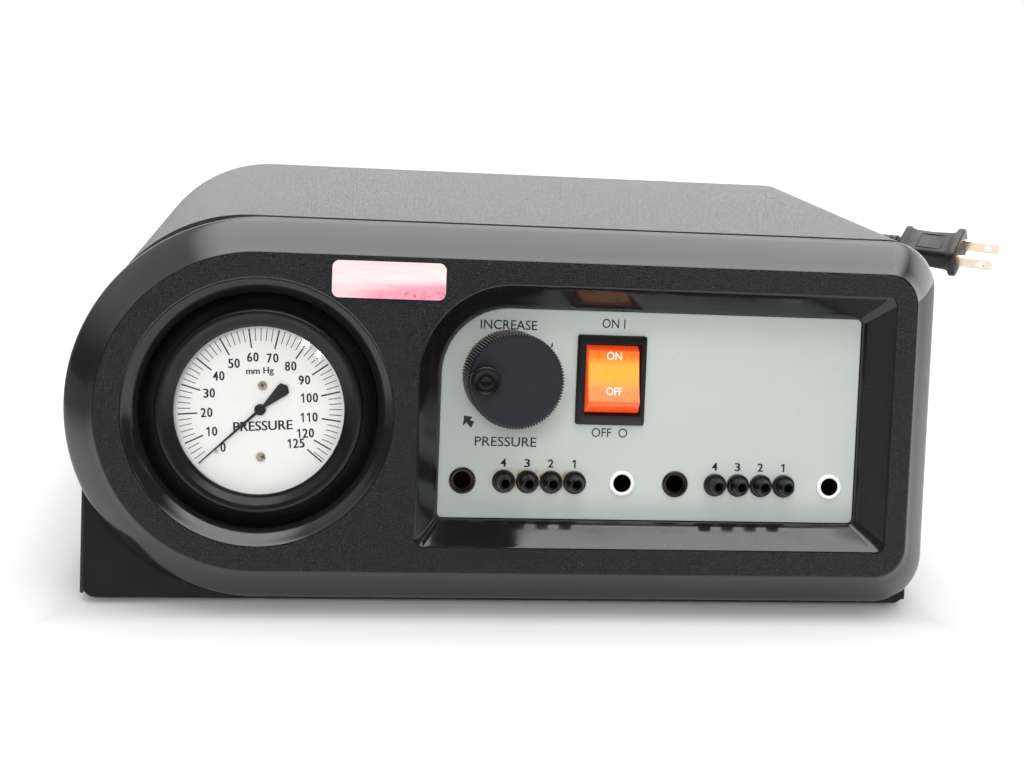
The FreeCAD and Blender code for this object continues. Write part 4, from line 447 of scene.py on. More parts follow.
def lit_orange():
    """Translucent key lit from behind: yellowish in the middle, orange above, redder low and at its edges.
    Its second axis runs up the key and its third out of it, in metres from the key's axle."""
    finish = Finish("lit_orange", (1.0, 0.25, 0.03), 0.22, Coat_Weight=0.6, Coat_Roughness=0.08)
    up = finish.axis(1)
    out = finish.axis(2)
    across = finish.math("ABSOLUTE", finish.axis(0))
    glow = finish.blend(finish.ramp(up, 0.0082, 0.0030), (1.0, 0.12, 0.008), (1.0, 0.35, 0.04))
    glow = finish.blend(finish.ramp(up, 0.0088, 0.0093), glow, (0.80, 0.045, 0.005))
    glow = finish.blend(finish.ramp(up, 0.000, -0.0062), glow, (1.0, 0.22, 0.09))
    glow = finish.blend(finish.ramp(up, -0.0085, -0.0092), glow, (1.0, 0.10, 0.012))
    glow = finish.blend(finish.ramp(out, 0.0060, 0.003), glow, (0.72, 0.05, 0.008))
    glow = finish.blend(finish.ramp(across, 0.0087, 0.0092), glow, (0.75, 0.06, 0.010))
    lines = finish.noise(2500.0, 2.0, vector=finish.stretched((1, 0.08, 1)))
    glow = finish.blend(finish.ramp(lines, 0.4, 0.7, 0.0, 0.12), glow, (1.0, 0.62, 0.25))
    finish.set("Emission Color", glow)
    finish.set("Base Color", finish.blend(0.5, glow, (0.3, 0.03, 0.0)))
    seen = finish.source("LightPath", "Is Camera Ray")
    finish.set("Emission Strength", finish.ramp(seen, 0.0, 1.0, 0.3, 0.85, smooth=False))
    finish.bump(lines, 0.00003, 0.4)
    return finish.material


def thin_lens():
    """Flat clear window: see-through, with the weak mirror of a sheet of glass and a few smears."""
    finish = Finish("clear_lens", (1, 1, 1), 0.03, Metallic=1.0)
    # Both faces mirror by their slant alone. A Fresnel node would make the far face opaque from the side.
    slant = finish.source("LayerWeight", "Facing")
    mirror = finish.ramp(finish.math("POWER", slant, 5.0), 0.0, 1.0, 0.034, 1.0, smooth=False)
    smears = finish.ramp(finish.noise(120.0, 6.0, 0.7), 0.55, 0.8, 0.0, 0.03)
    finish.set("Alpha", finish.math("ADD", mirror, smears))
    return finish.material


def lamp_glass():
    """Small neon lamp: clear glass, slightly wavy, with a warm tint."""
    finish = Finish("lamp_glass", (1.0, 0.85, 0.7), 0.05, IOR=1.45, Transmission_Weight=0.8)
    finish.set("Roughness", finish.ramp(finish.noise(300.0, 2.0), 0.3, 0.7, 0.03, 0.12))
    finish.bump(finish.noise(400.0, 2.0), 0.0001, 0.3)
    return finish.material


def ink(name, colour):
    """Screen-printed ink, slightly uneven."""
    finish = Finish(name, colour, 0.5)
    thin = tuple(c + 0.035 for c in colour)
    finish.set("Base Color", finish.blend(finish.ramp(finish.noise(700.0, 3.0), 0.5, 0.8), colour, thin))
    return finish.material


GLOSS = gloss_abs()
GRAIN = leather_abs("grained_black_abs", (0.0075, 0.0075, 0.008), 1500.0, 0.0004, (0.34, 0.5))
COVER = leather_abs("grained_black_cover", (0.052, 0.052, 0.050), 1700.0, 0.00030, (0.28, 0.44))
SATIN = satin_black("satin_black", (0.006, 0.006, 0.0065), 0.38)
CHASSIS = satin_black("chassis_black_paint", (0.004, 0.004, 0.0045), 0.34, 1.36)
MATT = satin_black("matt_black_ring", (0.005, 0.005, 0.005), 0.36, 1.45, 1200.0, 0.00002)
KNOB = satin_black("knob_phenolic", (0.012, 0.0125, 0.017), 0.42)
CREST_HIGHLIGHT_AND_GRIME = worn_crests()
SPINNER = satin_black("spinner_black", (0.003, 0.003, 0.003), 0.3, 1.36)
RUBBER = satin_black("black_rubber", (0.016, 0.016, 0.016), 0.7)
PORTS = satin_black("port_nylon", (0.006, 0.006, 0.0055), 0.32)
CORD = satin_black("cord_pvc", (0.010, 0.0072, 0.0072), 0.42, 1.5, 900.0, 0.00004)
PLATE = panel_paint()
LABEL = sticker_paper()
ORANGE = lit_orange()
LENS = thin_lens()
LAMP = lamp_glass()
POINTER = satin_black("pointer_black", (0.012, 0.012, 0.016), 0.45)
DARK_INK = ink("dark_ink", (0.012, 0.012, 0.016))
WHITE_INK = ink("white_ink", (0.9, 0.9, 0.85))
WHITE = plastic("white_nylon", (0.86, 0.86, 0.84), 0.35)
DIAL = plastic("dial_white", (0.80, 0.80, 0.785), 0.45, (0.77, 0.77, 0.75))
NATURAL = plastic("natural_plastic", (0.62, 0.58, 0.48), 0.4)
TUBING = plastic("clear_tubing", (0.66, 0.66, 0.60), 0.3, (0.55, 0.54, 0.47))
STEEL = metal("zinc_steel", (0.55, 0.55, 0.56), 0.32)
DULL_BRASS = metal("dull_brass_screws", (0.80, 0.74, 0.62), 0.42, tarnish=(0.45, 0.36, 0.24))
BRASS = metal("brass", (0.72, 0.50, 0.20), 0.28)
# Dark tarnished brass, also used for the painted shade of the dial screws' slots.
TARNISH_AND_SLOT_SHADE = metal("tarnished_brass_and_slot_shade", (0.16, 0.10, 0.045), 0.4, tarnish=(0.03, 0.022, 0.012))
GILT = metal("tinted_blades", (0.98, 0.84, 0.68), 0.24, (1, 1, 8), (0.86, 0.62, 0.44))
ALLOY = metal("cast_alloy", (0.52, 0.53, 0.55), 0.45)

# --- cord ---
# The route's points are the CAD's. The coil stands behind the case, and the plug rests over its top.
GLAND = Vector((30.0, 94.2, 24.5))
GLAND_REACH = 26.0
EXIT = GLAND + Vector((0, GLAND_REACH, 0))
COIL = Vector((165.0, 167.0, 48.0))
INNER, OUTER = 37.4, 44.7
TURN_POINTS = 16
# Degrees wound, radius and distance behind the coil's middle: three turns inside, then four outside.
WINDING = [
    (0, INNER, 12), (45, INNER, 8), (300, INNER, 8), (360, INNER, 0), (660, INNER, 0),
    (720, INNER, -8), (960, INNER, -8), (1020, OUTER, -12), (1260, OUTER, -12), (1320, OUTER, -4),
    (1620, OUTER, -4), (1680, OUTER, 4), (1980, OUTER, 4), (2040, OUTER, 12), (2250, OUTER, 12),
]
PLUG_AXIS = Vector((0.756, -0.655, 0.027))
PLUG_SIDE = Vector((-0.535, -0.64, -0.55))
PLUG_FACE = Vector((251.5, 128.5, 98.0))
PLUG_REACH = 60.0


def plug_frame():
    out = PLUG_AXIS.normalized()
    side = (PLUG_SIDE - out * PLUG_SIDE.dot(out)).normalized()
    return axes(side, out.cross(side), out, PLUG_FACE)


PLUG = plug_frame()


def cord_route():
    """Points of the whole lead, in millimetres: out of the gland, round the coil, up to the plug."""
    # Right and back of the gland's end, and height over the floor.
    steps = [(0, 0, EXIT.z), (1, 16.8, 19.2), (7, 34.8, 10.8), (20, 50.8, 5.6), (38, 61.3, 3.9)]
    steps += [(58, 66.1, 3.7), (75, 67.0, 3.7), (89.7, 67.0, 12.2), (98.2, 66.8, 26.9)]
    lead = [(EXIT.x + right, EXIT.y + back, height) for right, back, height in steps]
    turns = []
    for i in range(WINDING[-1][0] * TURN_POINTS // 360 + 1):
        wound = 360 * i / TURN_POINTS
        before = [stage for stage in WINDING[:-1] if stage[0] <= wound][-1]
        after = WINDING[WINDING.index(before) + 1]
        share = (wound - before[0]) / (after[0] - before[0])
        radius = before[1] + (after[1] - before[1]) * share
        behind = before[2] + (after[2] - before[2]) * share
        angle = math.radians(180 - wound)
        x, z = COIL.x + radius * math.cos(angle), COIL.z + radius * math.sin(angle)
        turns.append((x, COIL.y + behind, z))
    rear = PLUG_FACE - PLUG_AXIS.normalized() * PLUG_REACH
    end = [(181.0, 179.3, 93.9), (195.0, 175.7, 95.3), tuple(rear)]
    return lead + turns + end


def make_cord():
    curve = bpy.data.curves.new("power_lead", "CURVE")
    curve.dimensions = "3D"
    curve.bevel_depth = CORD_RADIUS * MM
    curve.bevel_resolution = 5
    curve.resolution_u = 8
    curve.use_fill_caps = True
    points = cord_route()
    spline = curve.splines.new("NURBS")
    spline.points.add(len(points) - 1)
    for point, place in zip(spline.points, points):
        point.co = (*(Vector(place) * MM), 1)
    spline.order_u = 3
    spline.use_endpoint_u = True
    curve.materials.append(CORD)
    return link("power_lead", curve)


def make_plug():
    """Moulded two-pole plug: front flange, waist with a blank badge on each side, rear flange, relief."""
    bm = bmesh.new()
    # Height along the plug's axis, width, depth and corner of each section.
    sections = [
        (0.0, 23.3, 13.8, 3.0), (-0.6, 24.5, 15.0, 3.6), (-2.8, 24.5, 15.0, 3.6),
        (-3.4, 23.6, 14.2, 3.4), (-4.2, 20.4, 12.4, 3.0), (-6.0, 19.2, 11.6, 2.8),
        (-15.0, 18.2, 11.0, 2.8), (-24.0, 18.6, 11.3, 2.8), (-26.2, 19.4, 12.4, 3.0),
        (-26.9, 21.0, 13.5, 3.2), (-29.0, 21.0, 13.5, 3.2), (-29.7, 19.8, 12.2, 3.0),
        (-30.4, 12.0, 9.6, 4.4), (-31.6, 7.4, 7.2, 3.5),
    ]
    rings = []
    for height, width, depth, corner in sections:
        rings.append(ring_of(bm, rounded_box(width, depth, corner, 6), height))
    skin(bm, rings)
    cap(bm, rings[0])
    # Raised frame of a blank badge on each broad side.
    for side in (-1, 1):
        y = side * 5.6
        for z in (-8.5, -20.5):
            add_bar(bm, (0, y, z), (11.0, 0.5, 0.7), 0.2)
        for x in (-5.2, 5.2):
            add_bar(bm, (x, y, -14.5), (0.7, 0.5, 12.6), 0.2)
    profile = [(3.6, -31.4)]
    for i in range(9):
        start = -32.2 - i * 3.05
        radius = 5.1 - 0.11 * i
        profile += rib(radius, 1.4, start, 0.3, -1)
    profile += [(CORD_RADIUS + 0.05, -PLUG_REACH), (CORD_RADIUS - 0.6, -PLUG_REACH)]
    lathe(bm, profile, 32)
    return piece("plug_moulding", bm, PLUG, [CORD], replaces=["plug_body"], sharp=50)


def rib(radius, depth, start, edge, way):
    """Profile of one segment of a strain relief, from start and on up (1) or down (-1) the axis."""
    low = radius - depth
    return [(low, start), (radius, start + way * edge), (radius, start + way * 1.9), (low, start + way * 2.2)]


def add_bar(bm, centre, size, bevel):
    """Small rounded bar."""
    corners = bmesh.ops.create_cube(bm, size=1.0)["verts"]
    for vert in corners:
        vert.co = Vector([c + v * s for c, v, s in zip(centre, vert.co, size)])
    edges = [edge for edge in bm.edges if edge.verts[0] in corners]
    bmesh.ops.bevel(bm, geom=edges, offset=bevel, segments=2, affect="EDGES", profile=0.5)


def make_relief():
    """Ribbed, tapered strain relief at the back, on its round flange."""
    bm = bmesh.new()
    profile = [(0, 2.2), (6.0, 2.2), (6.5, 1.8), (6.5, 0.0)]
    lathe(bm, profile, 40)
    profile = [(5.5, 2.0)]
    for i in range(7):
        start = 3.0 + i * 3.15
        radius = 5.4 - 0.14 * i
        profile += rib(radius, 0.8, start, 0.25, 1)
    profile += [(CORD_RADIUS + 0.6, GLAND_REACH - 0.3), (CORD_RADIUS + 0.1, GLAND_REACH)]
    profile += [(CORD_RADIUS - 0.5, GLAND_REACH)]
    lathe(bm, profile, 40)
    back = axes(Vector((-1, 0, 0)), Vector((0, 0, 1)), Vector((0, 1, 0)), GLAND)
    return piece(
        "ribbed_relief", bm, back, [CORD], replaces=["cord_strain_relief"], sharp=50
    )


lead = make_cord()
plug = make_plug()
relief = make_relief()
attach(lead, CASE)
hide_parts("power_cord", "cord_coil")

# --- bezel ---
BORDER_STEPS = (40, 14, 14, 40)
LEFT_ROUND = (BEZEL_BOTTOM + BEZEL_TOP) / 2


def border(inset, corner):
    """Outline of the bezel, drawn in by inset. Its left end is a half circle."""
    left, right = -BEZEL_LEFT + inset, BEZEL_RIGHT - inset
    bottom, top = -BEZEL_BOTTOM + inset, BEZEL_TOP - inset
    end = LEFT_ROUND - inset
    return rounded_loop(left, right, bottom, top, (end, corner, corner, end), BORDER_STEPS)


def recess_loop(grow, corner):
    """Outline of the panel's recess, larger than the plate by grow."""
    left, right = -PLATE_LEFT - grow, PLATE_RIGHT + grow
    bottom, top = -PLATE_BOTTOM - grow, PLATE_TOP + grow
    radii = (corner, corner, corner, PLATE_ROUND + grow)
    return rounded_loop(left, right, bottom, top, radii, (5, 5, 5, 24))


def make_bezel():
    bm = bmesh.new()
    gloss, grain = 0, 1
    drop = FACE_HEIGHT + PANEL_OUT - RIM_DEPTH
    # Inset and height of each step of the border: rim, rounded edge, slightly crowned slope, face edge.
    rim = -RIM_DEPTH
    steps = [(0.0, -PANEL_OUT), (0.0, rim - 0.6), (0.12, rim - 0.05), (0.5, rim + 0.62)]
    for i in range(1, 8):
        t = i / 8
        crown = 0.224 * math.sin(math.pi * t)
        steps.append((CHAMFER_WIDTH * t - crown, rim + 0.2 + (drop - 0.2) * t + crown))
    steps += [(11.45, 10.22), (11.75, 10.52), (12.1, 10.67), (12.5, FACE_HEIGHT)]
    rings = []
    for inset, height in steps:
        t = min(max((height + RIM_DEPTH) / drop, 0), 1)
        corner = BEZEL_CORNER + (FACE_CORNER - BEZEL_CORNER) * t
        rings.append(ring_of(bm, border(inset, corner), height))
    skin(bm, rings[:-1], gloss)
    bridge(bm, rings[-2], rings[-1], grain)
    # Recess of the panel.
    slope_top = FACE_HEIGHT - 0.6
    recess_steps = [(RECESS_SLOPE + 0.5, FACE_HEIGHT, 0), (RECESS_SLOPE + 0.1, FACE_HEIGHT - 0.1, 0)]
    recess_steps += [(RECESS_SLOPE - 0.4, slope_top, 0)]
    for i in range(1, 6):
        t = i / 6
        grow = RECESS_SLOPE - 0.4 - (RECESS_SLOPE - 0.9) * t
        recess_steps.append((grow, slope_top - (slope_top - RECESS_STEP) * t, t))
    recess_steps += [(PLATE_GAP + 0.1, RECESS_STEP, 1), (PLATE_GAP, RECESS_STEP - 0.3, 1)]
    recess_steps += [(PLATE_GAP, -PLATE_THICK, 1)]
    inner = []
    for grow, height, t in recess_steps:
        corner = RECESS_CORNER + (PLATE_CORNER + PLATE_GAP - RECESS_CORNER) * t
        inner.append(ring_of(bm, recess_loop(grow, corner), height))
    skin(bm, inner, gloss)
    # Cove of the gauge.
    floor = COVE_RADIUS - COVE_SLOPE
    low = FACE_HEIGHT - COVE_DROP + 0.7
    edge = COVE_RADIUS - 0.4
    slope = [(COVE_RADIUS + 0.4, FACE_HEIGHT), (COVE_RADIUS, FACE_HEIGHT - 0.12), (edge, slope_top)]
    for i in range(1, 6):
        t = i / 6
        crown = 0.25 * math.sin(math.pi * t)
        slope.append((edge - (COVE_SLOPE - 0.7) * t, slope_top - (COVE_DROP - 1.6) * t + crown))
    slope += [(floor + 0.25, low + 0.2), (floor, low - 0.2), (floor - 0.1, low - 1.2)]
    bowl = [(floor - 0.2, 2.6)]
    for a in (0.3, 0.6, 0.9, 1.2, 1.5708):
        bowl.append((floor - 0.2 - 4.2 * (1 - math.cos(a)), 2.6 - 4.2 * math.sin(a)))
    bowl.append((31.5, -PLATE_THICK))
    cove = lathe(bm, slope, 128, (GAUGE_U, GAUGE_V), gloss)
    lathe(bm, [slope[-1]] + bowl, 128, (GAUGE_U, GAUGE_V), 2)
    # The flat grained face between them.
    edges = []
    for loop in (rings[-1], inner[0], cove[0]):
        edges += [bm.edges.get((vert, loop[(i + 1) % len(loop)])) for i, vert in enumerate(loop)]
    made = bmesh.ops.triangle_fill(bm, use_beauty=True, edges=edges, normal=(0, 0, 1))
    for part in made["geom"]:
        if isinstance(part, bmesh.types.BMFace):
            part.material_index = grain
    materials = [GLOSS, GRAIN, MATT]
    piece("bezel_moulding", bm, PANEL, materials, replaces=["front_bezel"], sharp=25)


make_bezel()

# --- knob and spinner ---
KNURLS = 96
KNURL_DEPTH = 0.85
AT_KNOB = on_panel(KNOB_U, KNOB_V)
KNOB_TOP = KNOB_RISE + KNOB_HEIGHT


def knurled_loop(radius, depth):
    """Circle of fine vee grooves: two points on each crest and one in each groove."""
    points = []
    for i in range(KNURLS):
        for share, r in ((0.0, radius - depth), (0.3, radius), (0.7, radius)):
            angle = 2 * math.pi * (i + share) / KNURLS
            points.append((r * math.cos(angle), r * math.sin(angle)))
    return points


def make_knob():
    bm = bmesh.new()
    count = KNURLS * 3
    grip = KNOB_RADIUS - 0.05
    heights = [(KNOB_RISE, KNOB_RADIUS - 0.6, 0.0), (KNOB_RISE + 0.5, grip, KNURL_DEPTH)]
    heights += [(KNOB_TOP - 0.55, grip, KNURL_DEPTH)]
    heights += [(KNOB_TOP - 0.12, KNOB_RADIUS - 0.45, KNURL_DEPTH * 0.4)]
    rings = [ring_of(bm, knurled_loop(radius, depth), height) for height, radius, depth in heights]
    top = [(KNOB_RADIUS - 0.85, KNOB_TOP), (KNOB_RADIUS - 1.5, KNOB_TOP - 0.02), (9.0, KNOB_TOP - 0.1)]
    rings += [ring_of(bm, circle(radius, count), height) for radius, height in top]
    skin(bm, rings)
    for i in range(1, count, 3):
        edge = bm.edges.get((rings[1][i], rings[2][i]))
        across = bm.edges.get((rings[1][i + 1], rings[2][i + 1]))
        (set(edge.link_faces) & set(across.link_faces)).pop().material_index = 1
    cap(bm, rings[-1])
    inner = ring_of(bm, circle(9.0, count), KNOB_RISE)
    bridge(bm, inner, rings[0])
    cap(bm, inner)
    pin = [(1.8, KNOB_TOP - 0.2), (1.8, KNOB_TOP + 2.6), (2.1, KNOB_TOP + 2.8), (2.1, KNOB_TOP + 3.3)]
    lathe(bm, pin + [(0, KNOB_TOP + 3.5)], 24, (-SPINNER_OFFSET, 0))
    piece(
        "knurled_knob", bm, AT_KNOB, [KNOB, CREST_HIGHLIGHT_AND_GRIME],
        body="knob", replaces=["pressure_knob"], sharp=32,
    )


def make_spinner():
    """Finger dimple that turns on its own pin, with a raised rim and a dished middle."""
    bm = bmesh.new()
    low = KNOB_TOP + 0.3
    high = low + SPINNER_HEIGHT
    r = SPINNER_RADIUS
    profile = [(2.3, low), (r - 0.4, low), (r - 0.05, low + 0.35), (r - 0.05, high - 0.7)]
    profile += [(r - 0.25, high - 0.2), (r - 0.7, high), (r - 1.1, high - 0.1), (r - 1.3, high - 0.5)]
    profile += [(2.1, high - 0.75), (1.9, high - 0.55), (1.55, high - 0.6), (1.2, high - 0.95)]
    profile += [(0, high - 1.05)]
    lathe(bm, profile, 56, (-SPINNER_OFFSET, 0))
    piece(
        "spinner_cap", bm, AT_KNOB, [SPINNER],
        body="spinner", replaces=["knob_spinner"], sharp=60,
    )


make_knob()
make_spinner()

# --- rocker switch ---
# The photo's switch frame is 0.5 mm smaller than the CAD's, and its key is narrower and right of the middle.
SWITCH_WIDTH, SWITCH_HEIGHT, FRAME_RISE = 24.5, 31.4, 1.8
FRAME_SHIFT, KEY_SHIFT = (0.25, -0.45), (0.75, -0.3)
ROCKER_WIDTH, ROCKER_REACH, ROCKER_PLAY = 19.0, 11.6, 0.25
SWITCH_INSIDE, SWITCH_WALL, SWITCH_DEPTH, WELL_DEPTH = 20.4, 0.7, 24.0, 12.9
ROCKER_PIVOT = 3.0
ROCKER_TILT = math.radians(-12)


def make_switch_frame():
    """Bezel of the switch, its opening and the snap-in body behind the panel."""
    bm = bmesh.new()
    open_w, open_h = ROCKER_WIDTH + 2 * ROCKER_PLAY, 2 * ROCKER_REACH + 1.4
    body_w, body_h = SWITCH_INSIDE + 2 * SWITCH_WALL, open_h + 4
    # Width, height, corner, depth and the shift of each step, from the back over the frame and into the well.
    steps = [
        (body_w, body_h, 0.6, -SWITCH_DEPTH, (0, 0)),
        (body_w, body_h, 0.6, 0.0, (0, 0)),
        (SWITCH_WIDTH, SWITCH_HEIGHT, 0.9, 0.0, FRAME_SHIFT),
        (SWITCH_WIDTH, SWITCH_HEIGHT, 0.9, FRAME_RISE - 0.75, FRAME_SHIFT),
        (SWITCH_WIDTH - 0.35, SWITCH_HEIGHT - 0.35, 0.9, FRAME_RISE - 0.25, FRAME_SHIFT),
        (SWITCH_WIDTH - 1.1, SWITCH_HEIGHT - 1.1, 0.9, FRAME_RISE, FRAME_SHIFT),
        (open_w + 0.5, open_h + 0.5, 0.6, FRAME_RISE, KEY_SHIFT),
        (open_w, open_h, 0.4, FRAME_RISE - 0.4, KEY_SHIFT),
        (open_w, open_h, 0.4, -WELL_DEPTH, KEY_SHIFT),
    ]
    rings = []
    for width, height, corner, z, shift in steps:
        rings.append(ring_of(bm, rounded_box(width, height, corner, 5, *shift), z))
    skin(bm, rings)
    cap(bm, rings[0])
    cap(bm, rings[-1])
    place = on_panel(SWITCH_U, SWITCH_V)
    piece("switch_frame", bm, place, [SATIN], replaces=["switch_housing"], sharp=50)


ROCKER_TURN = Matrix.Rotation(ROCKER_TILT, 4, "X")
ROCKER = on_panel(SWITCH_U + KEY_SHIFT[0], SWITCH_V + KEY_SHIFT[1], -ROCKER_PIVOT) @ ROCKER_TURN
FACE_HALF = 8.9
FACE_EDGE, FACE_DISH = 7.2, 1.2
KEY_SLOPE, KEY_SLOPE_FROM = 0.16, 3.6


def face_height(y):
    """Height of the key's dished face over its axle."""
    return FACE_EDGE - FACE_DISH * (1 - (y / FACE_HALF) ** 2)


def make_rocker():
    """Translucent key: a dished face, a low facet at each end and sides that slope in towards the face."""
    bm = bmesh.new()
    skirt = [(10.9, -4.6), (11.65, -2.4), (ROCKER_REACH + 0.25, 0.0), (ROCKER_REACH - 0.05, 2.5)]
    shoulder = [(FACE_HALF + 0.25, FACE_EDGE - 0.5), (FACE_HALF, FACE_EDGE - 0.12)]
    outline = skirt + shoulder
    steps = 14
    for i in range(steps + 1):
        y = (FACE_HALF - 0.5) * (1 - 2 * i / steps)
        outline.append((y, face_height(y)))
    outline += [(-y, z) for y, z in reversed(skirt + shoulder)]

    def half_width(z):
        return ROCKER_WIDTH / 2 - max(z - KEY_SLOPE_FROM, 0) * KEY_SLOPE

    # From the left side over its rounded edge, across the face and down the right side.
    edge = [(0.0, 0.55), (0.14, 0.2), (0.45, 0.0)]
    rings = []
    for side, inset, lower in [(-1, *step) for step in edge] + [(1, *step) for step in reversed(edge)]:
        ring = []
        for y, z in outline:
            height = z - lower if z > 2.4 else z
            ring.append(bm.verts.new((side * (half_width(z) - inset), y, height)))
        rings.append(ring)
    skin(bm, rings)
    cap(bm, rings[0])
    cap(bm, rings[-1])
    # The key keeps its own axes, because its glow follows them.
    piece(
        "rocker_key", bm, ROCKER, [ORANGE],
        body="rocker", replaces=["switch_rocker"], sharp=40, own_axes=True,
    )


make_switch_frame()
make_rocker()

# --- hose ports and guide sockets ---
PORT_FLANGE, PORT_STEM, PORT_BORE, PORT_LENGTH, PORT_BACK = 4.0, 2.9, 1.45, 6.0, 16.0
SOCKET_FLANGE, SOCKET_BORE, SOCKET_DEPTH, SLEEVE = 4.6, 3.14, 16.0, 0.45
BLACK_SOCKETS = (-17.8, -17.8 + GROUP_PITCH)
WHITE_SOCKETS = (38.55, 38.55 + GROUP_PITCH)


def make_ports(name, node, group):
    """Four barbed tails: a dished flange, two barbs and a plain nose, bored right through."""
    bm = bmesh.new()
    stem, nose, bore = PORT_STEM, PORT_LENGTH, PORT_BORE
    profile = [(stem, -PORT_BACK + 3), (stem, 0.0)]
    profile += [(PORT_FLANGE, 0.0), (PORT_FLANGE, 1.15), (PORT_FLANGE - 0.35, 1.55), (stem + 0.1, 1.65)]
    profile += [(stem + 0.02, 2.0), (stem - 0.62, 3.3), (stem - 0.1, 3.62), (stem - 0.72, 5.2)]
    profile += [(stem - 0.62, nose - 0.25), (stem - 0.85, nose)]
    profile += [(bore + 0.12, nose), (bore, nose - 0.2), (bore, -PORT_BACK + 3)]
    for i in range(4):
        lathe(bm, profile, 40, (PORT_START + i * PORT_PITCH + group * GROUP_PITCH, 0))
    piece(name, bm, PANEL, [PORTS], replaces=[node], sharp=38)


def make_sockets(name, node, places, flange, bore, finish):
    """Blind guide sockets with a rounded rim. The second finish is for the inside of the bore."""
    bm = bmesh.new()
    profile = [(4.0, -SOCKET_DEPTH), (4.0, 0.0)]
    profile += [(flange, 0.0), (flange, 0.6), (flange - 0.3, 0.93), (flange - 0.55, 1.0)]
    profile += [(bore + 0.3, 1.0), (bore + 0.04, 0.8), (bore, 0.5), (bore, -SOCKET_DEPTH), (0, -SOCKET_DEPTH)]
    for u in places:
        rings = lathe(bm, profile, 48, (u, 0))
        inside = set(rings[-2] + rings[-3] + rings[-1])
        for face in {f for v in inside for f in v.link_faces}:
            if all(v in inside for v in face.verts):
                face.material_index = 1
    piece(name, bm, PANEL, finish, replaces=[node], sharp=38)


make_ports("barbed_ports_left", "hose_ports_left", 0)
make_ports("barbed_ports_right", "hose_ports_right", 1)
make_sockets(
    "socket_rims_black", "guide_sockets_black", BLACK_SOCKETS,
    SOCKET_FLANGE, SOCKET_BORE + SLEEVE + 0.05, [PORTS, PORTS],
)
# Painted shade: the white sockets' bores take the matt black of the ring, for the shade deep in the holes.
make_sockets(
    "socket_rims_white", "guide_sockets_white", WHITE_SOCKETS,
    SOCKET_FLANGE - 0.15, SOCKET_BORE, [WHITE, MATT],
)

# --- gauge ---
AT_GAUGE = on_panel(GAUGE_U, GAUGE_V)
RING_RADIUS, RING_FRONT, RING_LIP = 34.8, 8.0, 28.4
CASE_FRONT, LENS_THICK, DIAL_THICK = 3.3, 1.6, 0.8


def make_gauge_ring():
    """Black ring: a rolled shoulder outside, a fillet to the sloped lip and a bead at the lens."""
    bm = bmesh.new()
    r, front, lip, lens_face = RING_RADIUS, RING_FRONT, RING_LIP, CASE_FRONT + LENS_THICK
    profile = [(r - 2, -PLATE_THICK), (r, -PLATE_THICK), (r, front - 2.6), (r - 0.25, front - 0.9)]
    profile += [(r - 1.3, front), (r - 2.9, front - 0.15), (lip + 1.0, lens_face + 0.75)]
    profile += [(lip + 0.1, lens_face + 0.45), (lip, lens_face + 0.02), (lip, lens_face - 0.5)]
    lathe(bm, round_corner(profile, 1.2, 5), 160)
    piece("gauge_ring_black", bm, AT_GAUGE, [MATT], replaces=["gauge_ring"], sharp=60)


make_gauge_ring()

# --- lettering ---
# Lower and upper face of the print.
PRINT = (-0.02, 0.05)
BOLD, DIGIT_PITCH = 0.16, 1.16


def add_words(bm, text, centre, width, height, weight, lean=0.0, level=PRINT):
    """Letters of this width and height, with strokes made heavier by weight, as thin raised ink."""
    data = bpy.data.curves.new("words", "FONT")
    data.body = text
    data.size = 1.0
    data.offset = weight
    data.resolution_u = 4
    data.extrude = 0.5
    written = link("words", data)
    evaluated = written.evaluated_get(bpy.context.evaluated_depsgraph_get())
    mesh = bpy.data.meshes.new_from_object(evaluated)
    low, high = level
    xs, ys = [v.co.x for v in mesh.vertices], [v.co.y for v in mesh.vertices]
    mid_x, mid_y = (min(xs) + max(xs)) / 2, (min(ys) + max(ys)) / 2
    fit = Matrix.Diagonal((width / (max(xs) - min(xs)), height / (max(ys) - min(ys)), high - low, 1))
    turned = Matrix.Translation((*centre, (low + high) / 2)) @ Matrix.Rotation(math.radians(lean), 4, "Z")
    mesh.transform(turned @ fit @ Matrix.Translation((-mid_x, -mid_y, 0)))
    bm.from_mesh(mesh)
    bpy.data.objects.remove(written)
    bpy.data.curves.remove(data)
    bpy.data.meshes.remove(mesh)


def add_bold(bm, text, centre, width, height, weight, lean, level):
    """Words struck twice, a little apart."""
    for shift in (-BOLD / 2, BOLD / 2):
        add_words(bm, text, (centre[0] + shift, centre[1]), width - BOLD, height, weight, lean, level)


def add_number(bm, text, centre, digit, height, weight, lean=0.0, level=PRINT):
    """Number of evenly spaced digits. Its 1 has a flag, drawn here."""
    turn = math.radians(lean)
    cos, sin = math.cos(turn), math.sin(turn)
    for i, character in enumerate(text):
        along = (i - (len(text) - 1) / 2) * digit * DIGIT_PITCH
        x, y = centre[0] + along * cos, centre[1] + along * sin
        if character == "1":
            right, top = digit * 0.25, height / 2
            left, flag = right - digit * 0.28, digit * 0.34
            outline = [(left, -top), (right, -top), (right, top), (left + 0.05, top)]
            outline += [(left - flag, top * 0.62), (left - flag, top * 0.32), (left, top * 0.50)]
            add_prism(bm, [(x + a * cos - b * sin, y + a * sin + b * cos) for a, b in outline], level)
        else:
            add_bold(bm, character, (x, y), digit, height, weight, lean, level)


def add_prism(bm, points, level=PRINT):
    """Flat shape with this outline, as thin raised ink."""
    rings = [ring_of(bm, points, height) for height in level]
    skin(bm, rings)
    cap(bm, rings[0])
    cap(bm, rings[1])


def add_line(bm, start, end, width, level=PRINT):
    a, b = Vector(start), Vector(end)
    along = (b - a).normalized()
    side = Vector((-along.y, along.x)) * width / 2
    add_prism(bm, [a - side, b - side, b + side, a + side], level)


